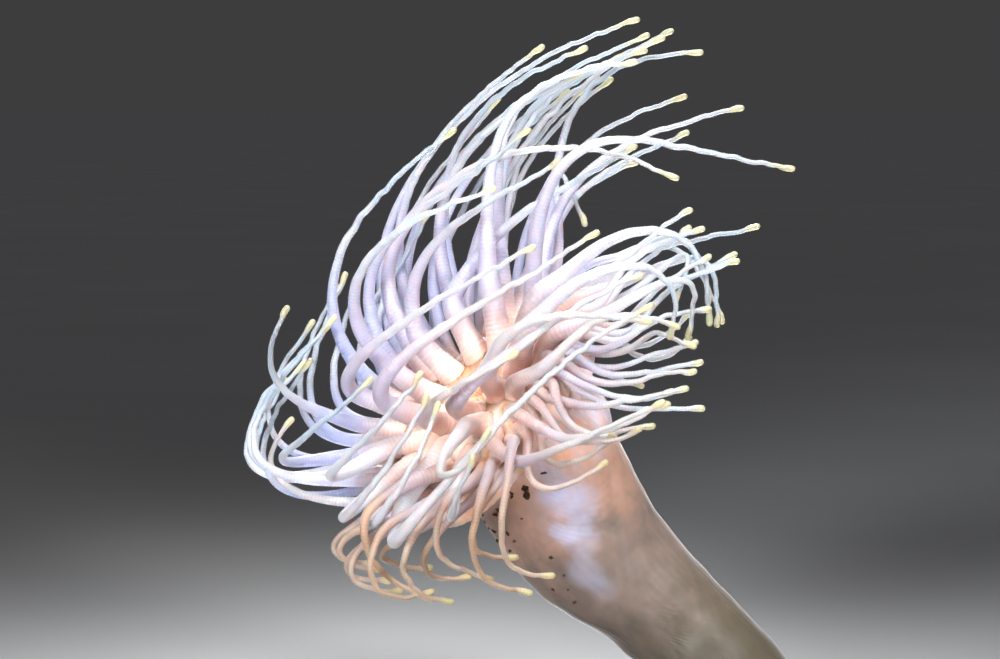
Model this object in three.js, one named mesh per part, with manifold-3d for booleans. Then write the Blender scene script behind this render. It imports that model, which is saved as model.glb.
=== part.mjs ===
// Sea anemone, crown tilted to the left and every tentacle drawn to the right by a current.
// Millimetres, +Z up. Origin: middle of the underside of the display base. The front looks along -Y.
import * as THREE from 'three';
import { mergeVertices } from 'three/addons/utils/BufferGeometryUtils.js';
import Module from 'manifold-3d';

// ---- oral disc: centre, the way it faces, and its up-right axis
const DISC_CENTRE = [-65, -4, 146];
const DISC_FACING = [-0.60, -0.40, 0.69];
const DISC_UP_RIGHT = [0.69, 0, 0.60];
const DISC_RADIUS = 53;
const DISC_SECTORS = 10;
const DISC_THICK_INNER = 12;
const DISC_THICK_RIM = 6;
const DISC_CROWN_START = 27;
const DISC_RIM_DROP = 13;
const DISC_LOBES = 3;
const DISC_LOBE_HEIGHT = 2.5;
// the margin draws in towards the near right, where the column bends away
const DRAWN_IN = 0.32;
const DRAWN_ANGLE = -40;
const DRAWN_WIDTH = 56;
const MOUTH_RADIUS = 9;
const MOUTH_SINK = 6;
const COLLAR_RADIUS = 46;
const COLLAR_SEAT = 1.4;
const GAP = 0.32;

// ---- tentacles stand in five cycles round the mouth; the last is half grown
const CYCLES = {
  1: { count: 10, ring: 20.5, start: -2, root: 5.2 },
  2: { count: 10, ring: 31, start: 5, root: 4.8 },
  3: { count: 20, ring: 39.5, start: 9, root: 4.2 },
  4: { count: 40, ring: 46.5, start: 4.5, root: 3.3 },
  5: { count: 40, ring: 51, start: 0, root: 2.7 },
};
const TIP_RADIUS = 0.85;
const KNOB_RADIUS = 1.3;
const SAMPLES = 28;
const CLEARANCE = 1.5;
const RING_SPACING = 60;
const RING_TURN = 50;
const WAVE_HEIGHT = 1.1;
const WAVE_LENGTH = 19;

// ---- sprays: tentacles that drift together. `roots` are [cycle, place in the cycle]; `from` and `to` are the
// tips of the first and last member, from SPRAY_CENTRE; the other pairs run from first to last member too.
// lean: degrees from the disc's surface normal at the root; reach: how far the root pushes straight out;
// drift: how far the tip trails straight back; heading: degrees above +X that the tip points.
const SPRAY_CENTRE = [-58, -4, 150];
const row = (cycle, ...places) => places.map((place) => [cycle, place]);
const SPRAYS = [
  { name: 'left_curl', roots: row(4, 17, 18, 19, 20), from: [-86, 46, -6], to: [-64, -4, 24],
    lean: [32, 0], reach: [80, 82], drift: [50, 92], heading: [54, 48] },
  { name: 'left_hook', roots: row(4, 21), from: [-82, 6, -18], to: [-82, 6, -18],
    lean: [30, 30], reach: [30, 30], drift: [46, 46], heading: [37, 37] },
  { name: 'left_inner', roots: row(3, 8, 9), from: [-81, -21, 28], to: [-47, -46, 2],
    lean: [24, 22], reach: [22, 96], drift: [49, 48], heading: [46, 47] },
  { name: 'left_cross', roots: [[2, 4], [1, 5]], from: [15, -44, 53], to: [40, -36, 58],
    lean: [56, 48], reach: [90, 84], drift: [42, 52], heading: [26, 32] },
  { name: 'front_fold', roots: [[2, 5], [3, 10], [3, 11]], from: [-28, -62, 6], to: [-22, -58, -6],
    lean: [54, 38], reach: [92, 88], drift: [38, 48], heading: [62, 80] },
  { name: 'front_loop', roots: [[2, 6]], from: [59, -70, 33], to: [59, -70, 33],
    lean: [72, 72], reach: [172, 172], drift: [58, 58], heading: [16, 16] },
  { name: 'mid_cross', roots: [[1, 6], [1, 7]], from: [8, -62, 14], to: [56, -44, 45],
    lean: [40, 48], reach: [40, 70], drift: [30, 46], heading: [31, 31] },
  { name: 'near_rise', roots: [[2, 7], [3, 13]], from: [-3, -88, -13], to: [-9, -96, -22],
    lean: [40, 46], reach: [72, 56], drift: [57, 40], heading: [66, 74] },
  { name: 'fringe_left', roots: row(4, 22, 23, 24, 25), from: [-48, -26, -73], to: [-24, -56, -80],
    lean: [14, 10], reach: [34, 76], drift: [42, 38], heading: [-6, 22] },
  { name: 'fringe_right', roots: [[3, 12], [4, 26], [4, 27], [4, 28], [4, 29]],
    from: [-25, -46, -82], to: [22, -60, -72],
    lean: [18, 16], reach: [72, 74], drift: [30, 46], heading: [-5, 14] },
  { name: 'arc_outer', roots: row(3, 7, 6), from: [-16, 19, 97], to: [14, 6, 97],
    lean: [24, 6], reach: [32, 94], drift: [104, 36], heading: [32, 48] },
  { name: 'arc_long', roots: [[2, 3]], from: [71, -8, 78], to: [71, -8, 78],
    lean: [52, 52], reach: [122, 122], drift: [74, 74], heading: [-48, -48] },
  { name: 'arc_inner', roots: row(1, 4, 3, 2), from: [0, -20, 74], to: [55, 4, 92],
    lean: [36, 34], reach: [72, 56], drift: [60, 42], heading: [10, 37] },
  { name: 'crest', roots: row(3, 5, 4, 3, 2), from: [19, 44, 132], to: [85, 54, 130],
    lean: [44, 60], reach: [96, 100], drift: [80, 90], heading: [34, -2] },
  { name: 'crest_back', roots: row(4, 12, 11, 10), from: [59, 64, 144], to: [75, 88, 138],
    lean: [18, 20], reach: [104, 100], drift: [66, 60], heading: [8, 20] },
  { name: 'crest_inner', roots: [[2, 2], [2, 1], [1, 1]], from: [36, 32, 121], to: [56, 16, 126],
    lean: [39, 43], reach: [88, 104], drift: [50, 57], heading: [23, 6] },
  { name: 'crest_right', roots: row(4, 9, 8, 7), from: [69, 58, 136], to: [43, 90, 120],
    lean: [40, 40], reach: [70, 94], drift: [70, 40], heading: [20, 14] },
  { name: 'right_long', roots: [[2, 0]], from: [117, -11, 82], to: [117, -11, 82],
    lean: [22, 22], reach: [134, 134], drift: [73, 73], heading: [-7, -7] },
  { name: 'right_back', roots: [[4, 5], [4, 4], [3, 1]], from: [59, 70, 83], to: [100, 30, 107],
    lean: [37, 28], reach: [55, 40], drift: [55, 96], heading: [21, 12] },
  { name: 'right_droop', roots: [[4, 3]], from: [36, 34, 59], to: [36, 34, 59],
    lean: [45, 45], reach: [44, 44], drift: [88, 88], heading: [-68, -68] },
  { name: 'bundle_hook', roots: [[3, 0], [1, 0], [2, 9], [1, 9]], from: [88, 6, 20], to: [68, -34, 18],
    lean: [68, 44], reach: [84, 92], drift: [52, 46], heading: [-94, -128] },
  { name: 'bundle_reach', roots: [[4, 1], [4, 0], [3, 19], [4, 38], [4, 37]],
    from: [78, 18, 66], to: [95, -18, 46],
    lean: [54, 58], reach: [40, 56], drift: [66, 70], heading: [36, 12] },
  { name: 'bundle_low', roots: [[4, 39], [4, 6]], from: [80, 30, 22], to: [61, 62, -10],
    lean: [20, 42], reach: [40, 34], drift: [56, 42], heading: [44, -13] },
  { name: 'bundle_swing', roots: [[4, 2]], from: [80, 50, 12], to: [80, 50, 12],
    lean: [30, 30], reach: [40, 40], drift: [50, 50], heading: [62, 62] },
  { name: 'side_reach', roots: row(3, 17, 16, 15, 14), from: [77, -36, 6], to: [62, -88, -2],
    lean: [60, 50], reach: [30, 36], drift: [40, 54], heading: [8, 27] },
  { name: 'side_fringe', roots: row(4, 33, 32, 31, 30), from: [60, -52, -14], to: [42, -62, -28],
    lean: [14, 10], reach: [16, 20], drift: [44, 56], heading: [22, 38] },
  { name: 'near_reach', roots: [[3, 18], [2, 8], [1, 8]], from: [77, -26, 13], to: [59, -60, 26],
    lean: [62, 38], reach: [62, 64], drift: [48, 46], heading: [-34, -10] },
  { name: 'side_back', roots: row(4, 34, 35, 36), from: [69, -36, -4], to: [84, -20, 28],
    lean: [30, 30], reach: [24, 28], drift: [28, 30], heading: [14, 0] },
  { name: 'left_back', roots: row(4, 16, 15, 14, 13), from: [-61, 52, 37], to: [-27, 66, 62],
    lean: [36, 36], reach: [50, 44], drift: [60, 50], heading: [60, 56] },
  { name: 'rim_left', roots: row(5, 19, 17, 16), from: [-73, 2, 5], to: [-66, 68, 32],
    lean: [20, 24], reach: [70, 56], drift: [60, 60], heading: [46, 60] },
  { name: 'rim_crest', roots: row(5, 13, 12, 11, 9, 8), from: [2, 76, 110], to: [50, 108, 118],
    lean: [36, 36], reach: [84, 84], drift: [60, 60], heading: [44, 30] },
  { name: 'rim_far', roots: row(5, 7, 5), from: [79, 66, 112], to: [106, 24, 59],
    lean: [30, 30], reach: [60, 40], drift: [70, 60], heading: [14, 16] },
  { name: 'rim_hook', roots: row(5, 4, 3, 1), from: [91, 22, 20], to: [72, -6, 30],
    lean: [48, 48], reach: [60, 60], drift: [52, 44], heading: [-80, -110] },
  { name: 'rim_side', roots: row(5, 39, 36, 35), from: [84, -14, 48], to: [80, -36, -9],
    lean: [50, 24], reach: [40, 20], drift: [50, 50], heading: [24, 6] },
  { name: 'rim_fringe', roots: row(5, 29, 27, 25, 23), from: [8, -54, -66], to: [-42, -18, -80],
    lean: [10, 10], reach: [50, 40], drift: [44, 40], heading: [12, 0] },
];
const DIVIDED_TENTACLES = 41;
const DIVISION = 0.4;

// ---- column: stations down its axis as [x, y, z, radius]; the last is the sole of the pedal disc
const COLUMN = [
  [-48, 6, 139, 36.5], [-46.5, 9, 134, 34.5], [-37.5, 14.5, 111, 32.5], [-21.5, 18, 83, 30.5],
  [7, 16, 56, 24], [28, 14, 37, 23.5], [39, 12.5, 25, 26], [43, 12, 16, 33], [44, 12, 10.1, 42],
];
const COLLAR_END = 1.6;
const COLUMN_SIDES = 16;
const COLUMN_RIB = 0.02;
const COLUMN_RIBS = 10;

// ---- display base
const BASE = { length: 192, width: 124, height: 10, corner: 16, chamfer: 1.5 };

const wasm = await Module();
wasm.setup();

// ---- vectors
const add = (a, b, k = 1) => [a[0] + b[0] * k, a[1] + b[1] * k, a[2] + b[2] * k];
const sub = (a, b) => [a[0] - b[0], a[1] - b[1], a[2] - b[2]];
const dot = (a, b) => a[0] * b[0] + a[1] * b[1] + a[2] * b[2];
const cross = (a, b) => [a[1] * b[2] - a[2] * b[1], a[2] * b[0] - a[0] * b[2], a[0] * b[1] - a[1] * b[0]];
const length = (a) => Math.sqrt(dot(a, a));
const unit = (a) => add([0, 0, 0], a, 1 / length(a));
const mix = (a, b, t) => a + (b - a) * t;
const radians = (a) => (a * Math.PI) / 180;
const smooth = (a, b, x) => {
  const t = Math.min(1, Math.max(0, (x - a) / (b - a)));
  return t * t * (3 - 2 * t);
};
// a repeatable number in -1..1 for a tentacle
const scatter = (cycle, place, which) => {
  const s = Math.sin(cycle * 12.9898 + place * 78.233 + which * 37.719) * 43758.5453;
  return 2 * (s - Math.floor(s)) - 1;
};

// ---- the disc's own frame and surface
const NORMAL = unit(DISC_FACING);
const RIGHT = unit(add(DISC_UP_RIGHT, NORMAL, -dot(DISC_UP_RIGHT, NORMAL)));
const AWAY = cross(NORMAL, RIGHT);

const crownDrop = (r) => {
  const t = Math.max(0, (r - DISC_CROWN_START) / (50 - DISC_CROWN_START));
  return DISC_RIM_DROP * t * t;
};

// the share of its full reach that the margin keeps at an angle
const marginAt = (angle) => {
  const off = ((((angle * 180) / Math.PI - DRAWN_ANGLE + 180) % 360) + 360) % 360 - 180;
  return 1 - DRAWN_IN * Math.exp(-((off / DRAWN_WIDTH) ** 2));
};

const discPoint = (r, angle) => {
  const lobe = 0.05 * Math.cos(DISC_LOBES * angle + 0.6) + marginAt(angle) - 1;
  const spread = r * (1 + lobe * smooth(20, 50, r));
  const height = DISC_LOBE_HEIGHT * Math.sin(DISC_LOBES * angle) * (r / 50) ** 2
    - MOUTH_SINK * (1 - smooth(4, 14, r)) - crownDrop(r);
  const flat = add(add(DISC_CENTRE, RIGHT, spread * Math.cos(angle)), AWAY, spread * Math.sin(angle));
  return add(flat, NORMAL, height);
};

const discNormal = (r, angle) => {
  const out = sub(discPoint(r + 0.5, angle), discPoint(r - 0.5, angle));
  const round = sub(discPoint(r, angle + 0.5 / r), discPoint(r, angle - 0.5 / r));
  return unit(cross(out, round));
};

const underside = (r, angle, below = 0) => {
  const thick = mix(DISC_THICK_INNER, DISC_THICK_RIM, smooth(15, 50, r));
  const sink = MOUTH_SINK * (1 - smooth(4, 14, r));
  return add(discPoint(r, angle), NORMAL, sink - thick - below);
};

// ---- tentacle centrelines
const bezier = (a, b, c, d, t) => {
  const u = 1 - t;
  return add(add(add(add([0, 0, 0], a, u * u * u), b, 3 * u * u * t), c, 3 * u * t * t), d, t * t * t);
};

const evenly = (points, count) => {
  const along = [0];
  for (let i = 1; i < points.length; i++) along.push(along[i - 1] + length(sub(points[i], points[i - 1])));
  const out = [];
  let k = 0;
  for (let i = 0; i <= count; i++) {
    const want = (along[along.length - 1] * i) / count;
    while (k < points.length - 2 && along[k + 1] < want) k++;
    const t = (want - along[k]) / (along[k + 1] - along[k]);
    out.push(add(points[k], sub(points[k + 1], points[k]), t));
  }
  return out;
};

const radiusAt = (root, s) => TIP_RADIUS + (root - TIP_RADIUS) * (0.2 * (1 - s) + 0.8 * (1 - s) ** 2.2);

const grow = (spray, member) => {
  const [cycle, place] = spray.roots[member];
  const { count, ring, start } = CYCLES[cycle];
  const last = spray.roots.length - 1;
  const t = last > 0 ? member / last : 0;
  const angle = radians(start + (360 / count) * place);
  const root = CYCLES[cycle].root * mix(1, marginAt(angle), smooth(25, 40, ring));
  const base = discPoint(ring, angle);
  const normal = discNormal(ring, angle);
  const outward = unit(sub(discPoint(ring + 1, angle), base));
  const lean = radians(mix(...spray.lean, t));
  const away = add(add([0, 0, 0], normal, Math.cos(lean)), outward, Math.sin(lean));
  let tip = add(SPRAY_CENTRE, add(spray.from, sub(spray.to, spray.from), t));
  let heading = mix(...spray.heading, t);
  if (member > 0 && member < last) {
    tip = add(tip, [1, 2, 3].map((k) => scatter(cycle, place, k)), 5);
    heading += 8 * scatter(cycle, place, 4);
  }
  const trail = [Math.cos(radians(heading)), 0, Math.sin(radians(heading))];
  const b = add(base, away, mix(...spray.reach, t));
  const c = add(tip, trail, -mix(...spray.drift, t));
  const curve = [];
  for (let i = 0; i <= SAMPLES; i++) curve.push(bezier(base, b, c, tip, i / SAMPLES));
  const points = evenly(curve, SAMPLES);
  const whole = points.reduce((sum, p, i) => sum + (i ? length(sub(p, points[i - 1])) : 0), 0);
  // the slack outer length ripples
  for (let i = 1; i <= SAMPLES; i++) {
    const s = i / SAMPLES;
    const ahead = unit(sub(points[Math.min(SAMPLES, i + 1)], points[i - 1]));
    const side = unit(cross(ahead, [0, 1, 0]));
    const phase = 3 * scatter(cycle, place, 5) + (6.2832 * s * whole) / WAVE_LENGTH;
    points[i] = add(points[i], side, WAVE_HEIGHT * smooth(0.45, 0.85, s) * Math.sin(phase));
  }
  return { name: `${spray.name}_${member + 1}`, cycle, place, angle, root, base, normal, points, whole };
};

// ---- column axis
const columnAt = (t) => {
  const k = Math.min(COLUMN.length - 2, Math.floor(t));
  const u = t - k;
  const [a, b, c, d] = [k - 1, k, k + 1, k + 2].map((i) => COLUMN[Math.min(COLUMN.length - 1, Math.max(0, i))]);
  return b.map((v, i) => 0.5 * (2 * v + (c[i] - a[i]) * u + (2 * a[i] - 5 * v + 4 * c[i] - d[i]) * u * u
    + (3 * v - a[i] - 3 * c[i] + d[i]) * u * u * u));
};

// ---- eases every tentacle clear of the others, of the column and of the disc
const PAIR_REACH = 24;
const ROUNDS = 260;
const settle = (tentacles) => {
  const n = tentacles.length;
  const stride = SAMPLES + 1;
  const total = n * stride;
  const x = new Float64Array(total * 3);
  const r = new Float64Array(total);
  tentacles.forEach((t, k) => t.points.forEach((p, i) => {
    x.set(p, (k * stride + i) * 3);
    r[k * stride + i] = radiusAt(t.root, i / SAMPLES);
  }));
  const free = Array.from({ length: stride }, (_, i) => smooth(0.02, 0.12, i / SAMPLES));
  const posts = [];
  for (let i = 0; i <= 30; i++) posts.push(columnAt((i / 30) * (COLUMN.length - 1)));
  let pairs = [];
  let move = new Float64Array(total * 3);
  const spreadOut = new Float64Array(total * 3);
  const hits = new Float64Array(total);
  for (let round = 0; round < ROUNDS; round++) {
    if (round % 20 === 0) {
      pairs = [];
      for (let a = 0; a < total; a++) {
        for (let b = (Math.floor(a / stride) + 1) * stride; b < total; b++) {
          const [dx, dy, dz] = [0, 1, 2].map((k) => x[b * 3 + k] - x[a * 3 + k]);
          if (dx * dx + dy * dy + dz * dz < PAIR_REACH * PAIR_REACH) pairs.push(a, b);
        }
      }
    }
    move.fill(0);
    hits.fill(0);
    for (let k = 0; k < pairs.length; k += 2) {
      const [a, b] = [pairs[k], pairs[k + 1]];
      const dx = x[b * 3] - x[a * 3];
      const dy = x[b * 3 + 1] - x[a * 3 + 1];
      const dz = x[b * 3 + 2] - x[a * 3 + 2];
      const far = Math.sqrt(dx * dx + dy * dy + dz * dz);
      const need = r[a] + r[b] + CLEARANCE;
      if (far >= need) continue;
      const push = ((need - far) * 0.5) / Math.max(far, 1e-6);
      move[a * 3] -= dx * push;
      move[a * 3 + 1] -= dy * push;
      move[a * 3 + 2] -= dz * push;
      move[b * 3] += dx * push;
      move[b * 3 + 1] += dy * push;
      move[b * 3 + 2] += dz * push;
      hits[a] += 1;
      hits[b] += 1;
    }
    for (let a = 0; a < total; a++) {
      const share = 1 / Math.max(1, hits[a]);
      const p = [x[a * 3], x[a * 3 + 1], x[a * 3 + 2]];
      let m = [move[a * 3] * share, move[a * 3 + 1] * share, move[a * 3 + 2] * share];
      let near = null;
      let depth = Infinity;
      for (const post of posts) {
        const d = length(sub(p, post)) - post[3];
        if (d < depth) [near, depth] = [post, d];
      }
      const room = r[a] + 1;
      if (depth < room) {
        const out = sub(p, near);
        m = add(m, out, (0.5 * (room - depth)) / length(out));
      }
      const q = sub(p, DISC_CENTRE);
      const height = dot(q, NORMAL);
      const across = length(add(q, NORMAL, -height));
      const lift = r[a] + 1 - crownDrop(across) - height;
      if (across < 52 && lift > 0 && lift < 15 + r[a]) m = add(m, NORMAL, 0.35 * lift);
      const w = free[a % stride];
      for (let k = 0; k < 3; k++) move[a * 3 + k] = m[k] * w;
    }
    for (let pass = 0; pass < 3; pass++) {
      for (let a = 0; a < total; a++) {
        const i = a % stride;
        for (let k = 0; k < 3; k++) {
          const here = move[a * 3 + k];
          const eased = i === 0 || i === SAMPLES ? here
            : 0.25 * move[a * 3 - 3 + k] + 0.5 * here + 0.25 * move[a * 3 + 3 + k];
          spreadOut[a * 3 + k] = eased * free[i];
        }
      }
      move.set(spreadOut);
    }
    for (let a = 0; a < total * 3; a++) x[a] += 1.5 * move[a];
    for (let a = 0; a < total; a++) {
      const i = a % stride;
      for (let k = 0; k < 3; k++) {
        const bend = i === 0 || i === SAMPLES ? 0 : x[a * 3 - 3 + k] - 2 * x[a * 3 + k] + x[a * 3 + 3 + k];
        spreadOut[a * 3 + k] = 0.02 * bend * free[i];
      }
    }
    for (let a = 0; a < total * 3; a++) x[a] += spreadOut[a];
  }
  tentacles.forEach((t, k) => {
    t.points = t.points.map((_, i) => Array.from(x.subarray((k * stride + i) * 3, (k * stride + i) * 3 + 3)));
  });
};

// ---- closed bodies from rings of equal count
const geometry = (positions, faces) => {
  const g = new THREE.BufferGeometry();
  g.setAttribute('position', new THREE.Float32BufferAttribute(positions.flat(), 3));
  g.setIndex(faces);
  return g;
};

// rings: arrays of points, each running anticlockwise seen from ahead of the loft; ends: closing centre points
const loft = (rings, startPoint, endPoint) => {
  const n = rings[0].length;
  const positions = rings.flat();
  const faces = [];
  for (let j = 0; j < rings.length - 1; j++) {
    for (let i = 0; i < n; i++) {
      const [a, b] = [j * n + i, j * n + ((i + 1) % n)];
      faces.push(a, b, b + n, a, b + n, a + n);
    }
  }
  const first = positions.push(startPoint) - 1;
  const last = positions.push(endPoint) - 1;
  const top = (rings.length - 1) * n;
  for (let i = 0; i < n; i++) {
    faces.push(first, (i + 1) % n, i);
    faces.push(last, top + i, top + ((i + 1) % n));
  }
  return geometry(positions, faces);
};

const circle = (centre, across, up, radius, sides, shape = () => 1) => {
  const out = [];
  for (let i = 0; i < sides; i++) {
    const a = (2 * Math.PI * i) / sides;
    const r = radius * shape(a);
    out.push(add(add(centre, across, r * Math.cos(a)), up, r * Math.sin(a)));
  }
  return out;
};

const centreOf = (ring) => ring.reduce((sum, p) => add(sum, p, 1 / ring.length), [0, 0, 0]);

// ---- solids for joining
const solid = (g) => {
  const bare = new THREE.BufferGeometry();
  bare.setAttribute('position', g.getAttribute('position'));
  bare.setIndex(g.getIndex());
  const merged = mergeVertices(bare, 1e-4);
  return new wasm.Manifold(new wasm.Mesh({
    numProp: 3,
    vertProperties: new Float32Array(merged.getAttribute('position').array),
    triVerts: new Uint32Array(merged.getIndex().array),
  }));
};

const backToThree = (body) => {
  const mesh = body.getMesh();
  const g = new THREE.BufferGeometry();
  g.setAttribute('position', new THREE.Float32BufferAttribute(mesh.vertProperties, 3));
  g.setIndex(new THREE.Uint32BufferAttribute(mesh.triVerts, 1));
  return g;
};

// ---- tentacle lengths
const framesAlong = (points) => {
  const ahead = points.map((p, i) => unit(sub(points[Math.min(SAMPLES, i + 1)], points[Math.max(0, i - 1)])));
  let side = unit(cross(ahead[0], Math.abs(ahead[0][1]) < 0.9 ? [0, 1, 0] : [1, 0, 0]));
  return ahead.map((t) => {
    side = unit(add(side, t, -dot(side, t)));
    return { ahead: t, side, up: cross(t, side) };
  });
};

const ringAt = (tentacle, s, sides, scale = 1) => {
  const at = s * SAMPLES;
  const k = Math.min(SAMPLES - 1, Math.floor(at));
  const u = at - k;
  const [a, b] = [tentacle.frames[k], tentacle.frames[k + 1]];
  const blend = (key) => add(add([0, 0, 0], a[key], 1 - u), b[key], u);
  const ahead = unit(blend('ahead'));
  const side = unit(add(blend('side'), ahead, -dot(blend('side'), ahead)));
  const centre = add(tentacle.points[k], sub(tentacle.points[k + 1], tentacle.points[k]), u);
  const radius = radiusAt(tentacle.root, s) * scale;
  return { centre, ahead, ring: circle(centre, side, cross(ahead, side), radius, sides) };
};

// places for rings between two fractions of a tentacle: closer together where it bends
const ringPlaces = (tentacle, from, to) => {
  const effort = [0];
  for (let i = 1; i <= SAMPLES; i++) {
    const turn = Math.acos(Math.min(1, dot(tentacle.frames[i].ahead, tentacle.frames[i - 1].ahead)));
    effort.push(effort[i - 1] + tentacle.whole / SAMPLES / RING_SPACING + turn / radians(RING_TURN));
  }
  const at = (s) => {
    const k = Math.min(SAMPLES - 1, Math.floor(s * SAMPLES));
    return mix(effort[k], effort[k + 1], s * SAMPLES - k);
  };
  const [low, high] = [at(from), at(to)];
  const pieces = Math.max(2, Math.round(high - low));
  const places = [from];
  for (let i = 1; i < pieces; i++) {
    const want = mix(low, high, i / pieces);
    let k = 0;
    while (effort[k + 1] < want) k++;
    places.push((k + (want - effort[k]) / (effort[k + 1] - effort[k])) / SAMPLES);
  }
  places.push(to);
  return places;
};

const tentacleLength = (tentacle, from, to, sides) => {
  const rings = [];
  if (from === 0) {
    const sunk = add(tentacle.base, tentacle.normal, -2.5);
    const first = ringAt(tentacle, 0, sides);
    const across = unit(add(sub(first.ring[0], first.centre), tentacle.normal,
      -dot(sub(first.ring[0], first.centre), tentacle.normal)));
    const up = cross(tentacle.normal, across);
    rings.push(circle(sunk, across, up, tentacle.root, sides));
  }
  const start = from === 0 ? 2 / tentacle.whole : from;
  for (const s of ringPlaces(tentacle, start, to)) rings.push(ringAt(tentacle, s, sides).ring);
  let end = centreOf(rings[rings.length - 1]);
  if (to === 1) {
    const tip = ringAt(tentacle, 1, sides, KNOB_RADIUS / TIP_RADIUS);
    rings[rings.length - 1] = tip.ring;
    end = add(tip.centre, tip.ahead, KNOB_RADIUS);
  }
  return loft(rings, centreOf(rings[0]), end);
};

// ---- oral disc sectors and mouth
const sectorBody = (sector) => {
  const radii = [MOUTH_RADIUS + GAP, 20, 33, 44, DISC_RADIUS];
  const columns = 3;
  const middle = (2 * Math.PI * sector) / DISC_SECTORS;
  const top = [];
  const bottom = [];
  radii.forEach((r) => {
    const half = Math.PI / DISC_SECTORS - GAP / (2 * r);
    for (let i = 0; i <= columns; i++) {
      const angle = middle + mix(-half, half, i / columns);
      top.push(discPoint(r, angle));
      bottom.push(underside(r, angle));
    }
  });
  const w = columns + 1;
  const below = top.length;
  const faces = [];
  const quad = (a, b, c, d) => faces.push(a, b, c, a, c, d);
  for (let j = 0; j < radii.length - 1; j++) {
    for (let i = 0; i < columns; i++) {
      const a = j * w + i;
      quad(a, a + w, a + w + 1, a + 1);
      quad(below + a, below + a + 1, below + a + w + 1, below + a + w);
    }
    const [l, r] = [j * w, j * w + columns];
    quad(l, below + l, below + l + w, l + w);
    quad(r, r + w, below + r + w, below + r);
  }
  const rim = (radii.length - 1) * w;
  for (let i = 0; i < columns; i++) {
    quad(i, i + 1, below + i + 1, below + i);
    quad(rim + i, below + rim + i, below + rim + i + 1, rim + i + 1);
  }
  return geometry([...top, ...bottom], faces);
};

const mouthBody = () => {
  const sides = 12;
  const ring = (r, height, squeeze = 1) => {
    const out = [];
    for (let i = 0; i < sides; i++) {
      const a = (2 * Math.PI * i) / sides;
      const [u, v] = [r * Math.cos(a), r * squeeze * Math.sin(a)];
      out.push(add(add(add(DISC_CENTRE, RIGHT, u), AWAY, v), NORMAL, height));
    }
    return out;
  };
  const rings = [
    ring(7.5, -11.5), ring(MOUTH_RADIUS - 0.2, -9), ring(MOUTH_RADIUS - 0.4, -4.5), ring(7, -2.6, 0.9),
    ring(5, -3.4, 0.75), ring(4, -6, 0.6), ring(3, -8.5, 0.5),
  ];
  return loft(rings, add(DISC_CENTRE, NORMAL, -11.5), add(DISC_CENTRE, NORMAL, -9));
};

// ---- column lengths
const columnRing = (t) => {
  const here = columnAt(t);
  const step = 0.05;
  const last = COLUMN.length - 1;
  const along = unit(sub(columnAt(Math.min(last, t + step)), columnAt(Math.max(0, t - step))));
  // the foot comes square to the floor
  const level = smooth(3.6, last - 1.2, t);
  const ahead = unit(add(add([0, 0, 0], along.slice(0, 3), 1 - level), [0, 0, -1], level));
  const side = unit(cross([0, 1, 0], ahead));
  const rib = (a) => 1 + COLUMN_RIB * smooth(4, 1, t) * Math.cos(COLUMN_RIBS * a);
  return circle(here.slice(0, 3), side, cross(ahead, side), here[3], COLUMN_SIDES, rib);
};

const columnLength = (from, to, pieces) => {
  const rings = [];
  for (let i = 0; i <= pieces; i++) rings.push(columnRing(mix(from, to, i / pieces)));
  return loft(rings, centreOf(rings[0]), centreOf(rings[rings.length - 1]));
};

// flares from the column to the underside of the disc
const collarBody = () => {
  const lip = (r, below) => {
    const out = [];
    for (let i = 0; i < COLUMN_SIDES; i++) out.push(underside(r, -(2 * Math.PI * i) / COLUMN_SIDES, COLLAR_SEAT + below));
    return out;
  };
  const foot = columnRing(COLLAR_END);
  // start both rings on the same side
  const first = foot[0];
  const rim = lip(COLLAR_RADIUS, 0);
  let turn = 0;
  let best = Infinity;
  rim.forEach((p, i) => {
    const far = length(sub(p, first));
    if (far < best) [turn, best] = [i, far];
  });
  const turned = (ring) => ring.map((_, i) => ring[(i + turn) % ring.length]);
  const rings = [turned(lip(14, 0)), turned(lip(30, 0)), turned(lip(39, 0)), turned(rim), turned(lip(COLLAR_RADIUS - 1, 4))];
  const under = rings[4];
  for (const t of [0.5, 1]) rings.push(under.map((p, i) => add(p, sub(foot[i], p), t)));
  return loft(rings, centreOf(rings[0]), centreOf(rings[rings.length - 1]));
};

// ---- display base
const baseBody = () => {
  const outline = (inset) => {
    const out = [];
    const [x, y, r] = [BASE.length / 2 - inset, BASE.width / 2 - inset, BASE.corner - inset];
    for (const [sx, sy, start] of [[1, 1, 0], [-1, 1, 90], [-1, -1, 180], [1, -1, 270]]) {
      for (let i = 0; i <= 4; i++) {
        const a = radians(start + i * 22.5);
        out.push([sx * (x - r) + r * Math.cos(a), sy * (y - r) + r * Math.sin(a)]);
      }
    }
    return out;
  };
  const level = (inset, z) => outline(inset).map(([x, y]) => [x, y, z]);
  const { height, chamfer } = BASE;
  const rings = [level(0, 0), level(0, height - chamfer), level(chamfer, height)];
  return loft(rings, [0, 0, 0], [0, 0, height]);
};

// ---- assembly
const group = new THREE.Group();
const put = (name, g, colour, roughness) => {
  const material = new THREE.MeshStandardMaterial({ color: colour, roughness, metalness: 0 });
  const mesh = new THREE.Mesh(g, material);
  mesh.name = name;
  group.add(mesh);
};
const tentacles = SPRAYS.flatMap((spray) => spray.roots.map((_, member) => grow(spray, member)));
settle(tentacles);
tentacles.forEach((t) => {
  t.frames = framesAlong(t.points);
});
const divided = [...tentacles].sort((a, b) => b.whole - a.whole).slice(0, DIVIDED_TENTACLES);

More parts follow.
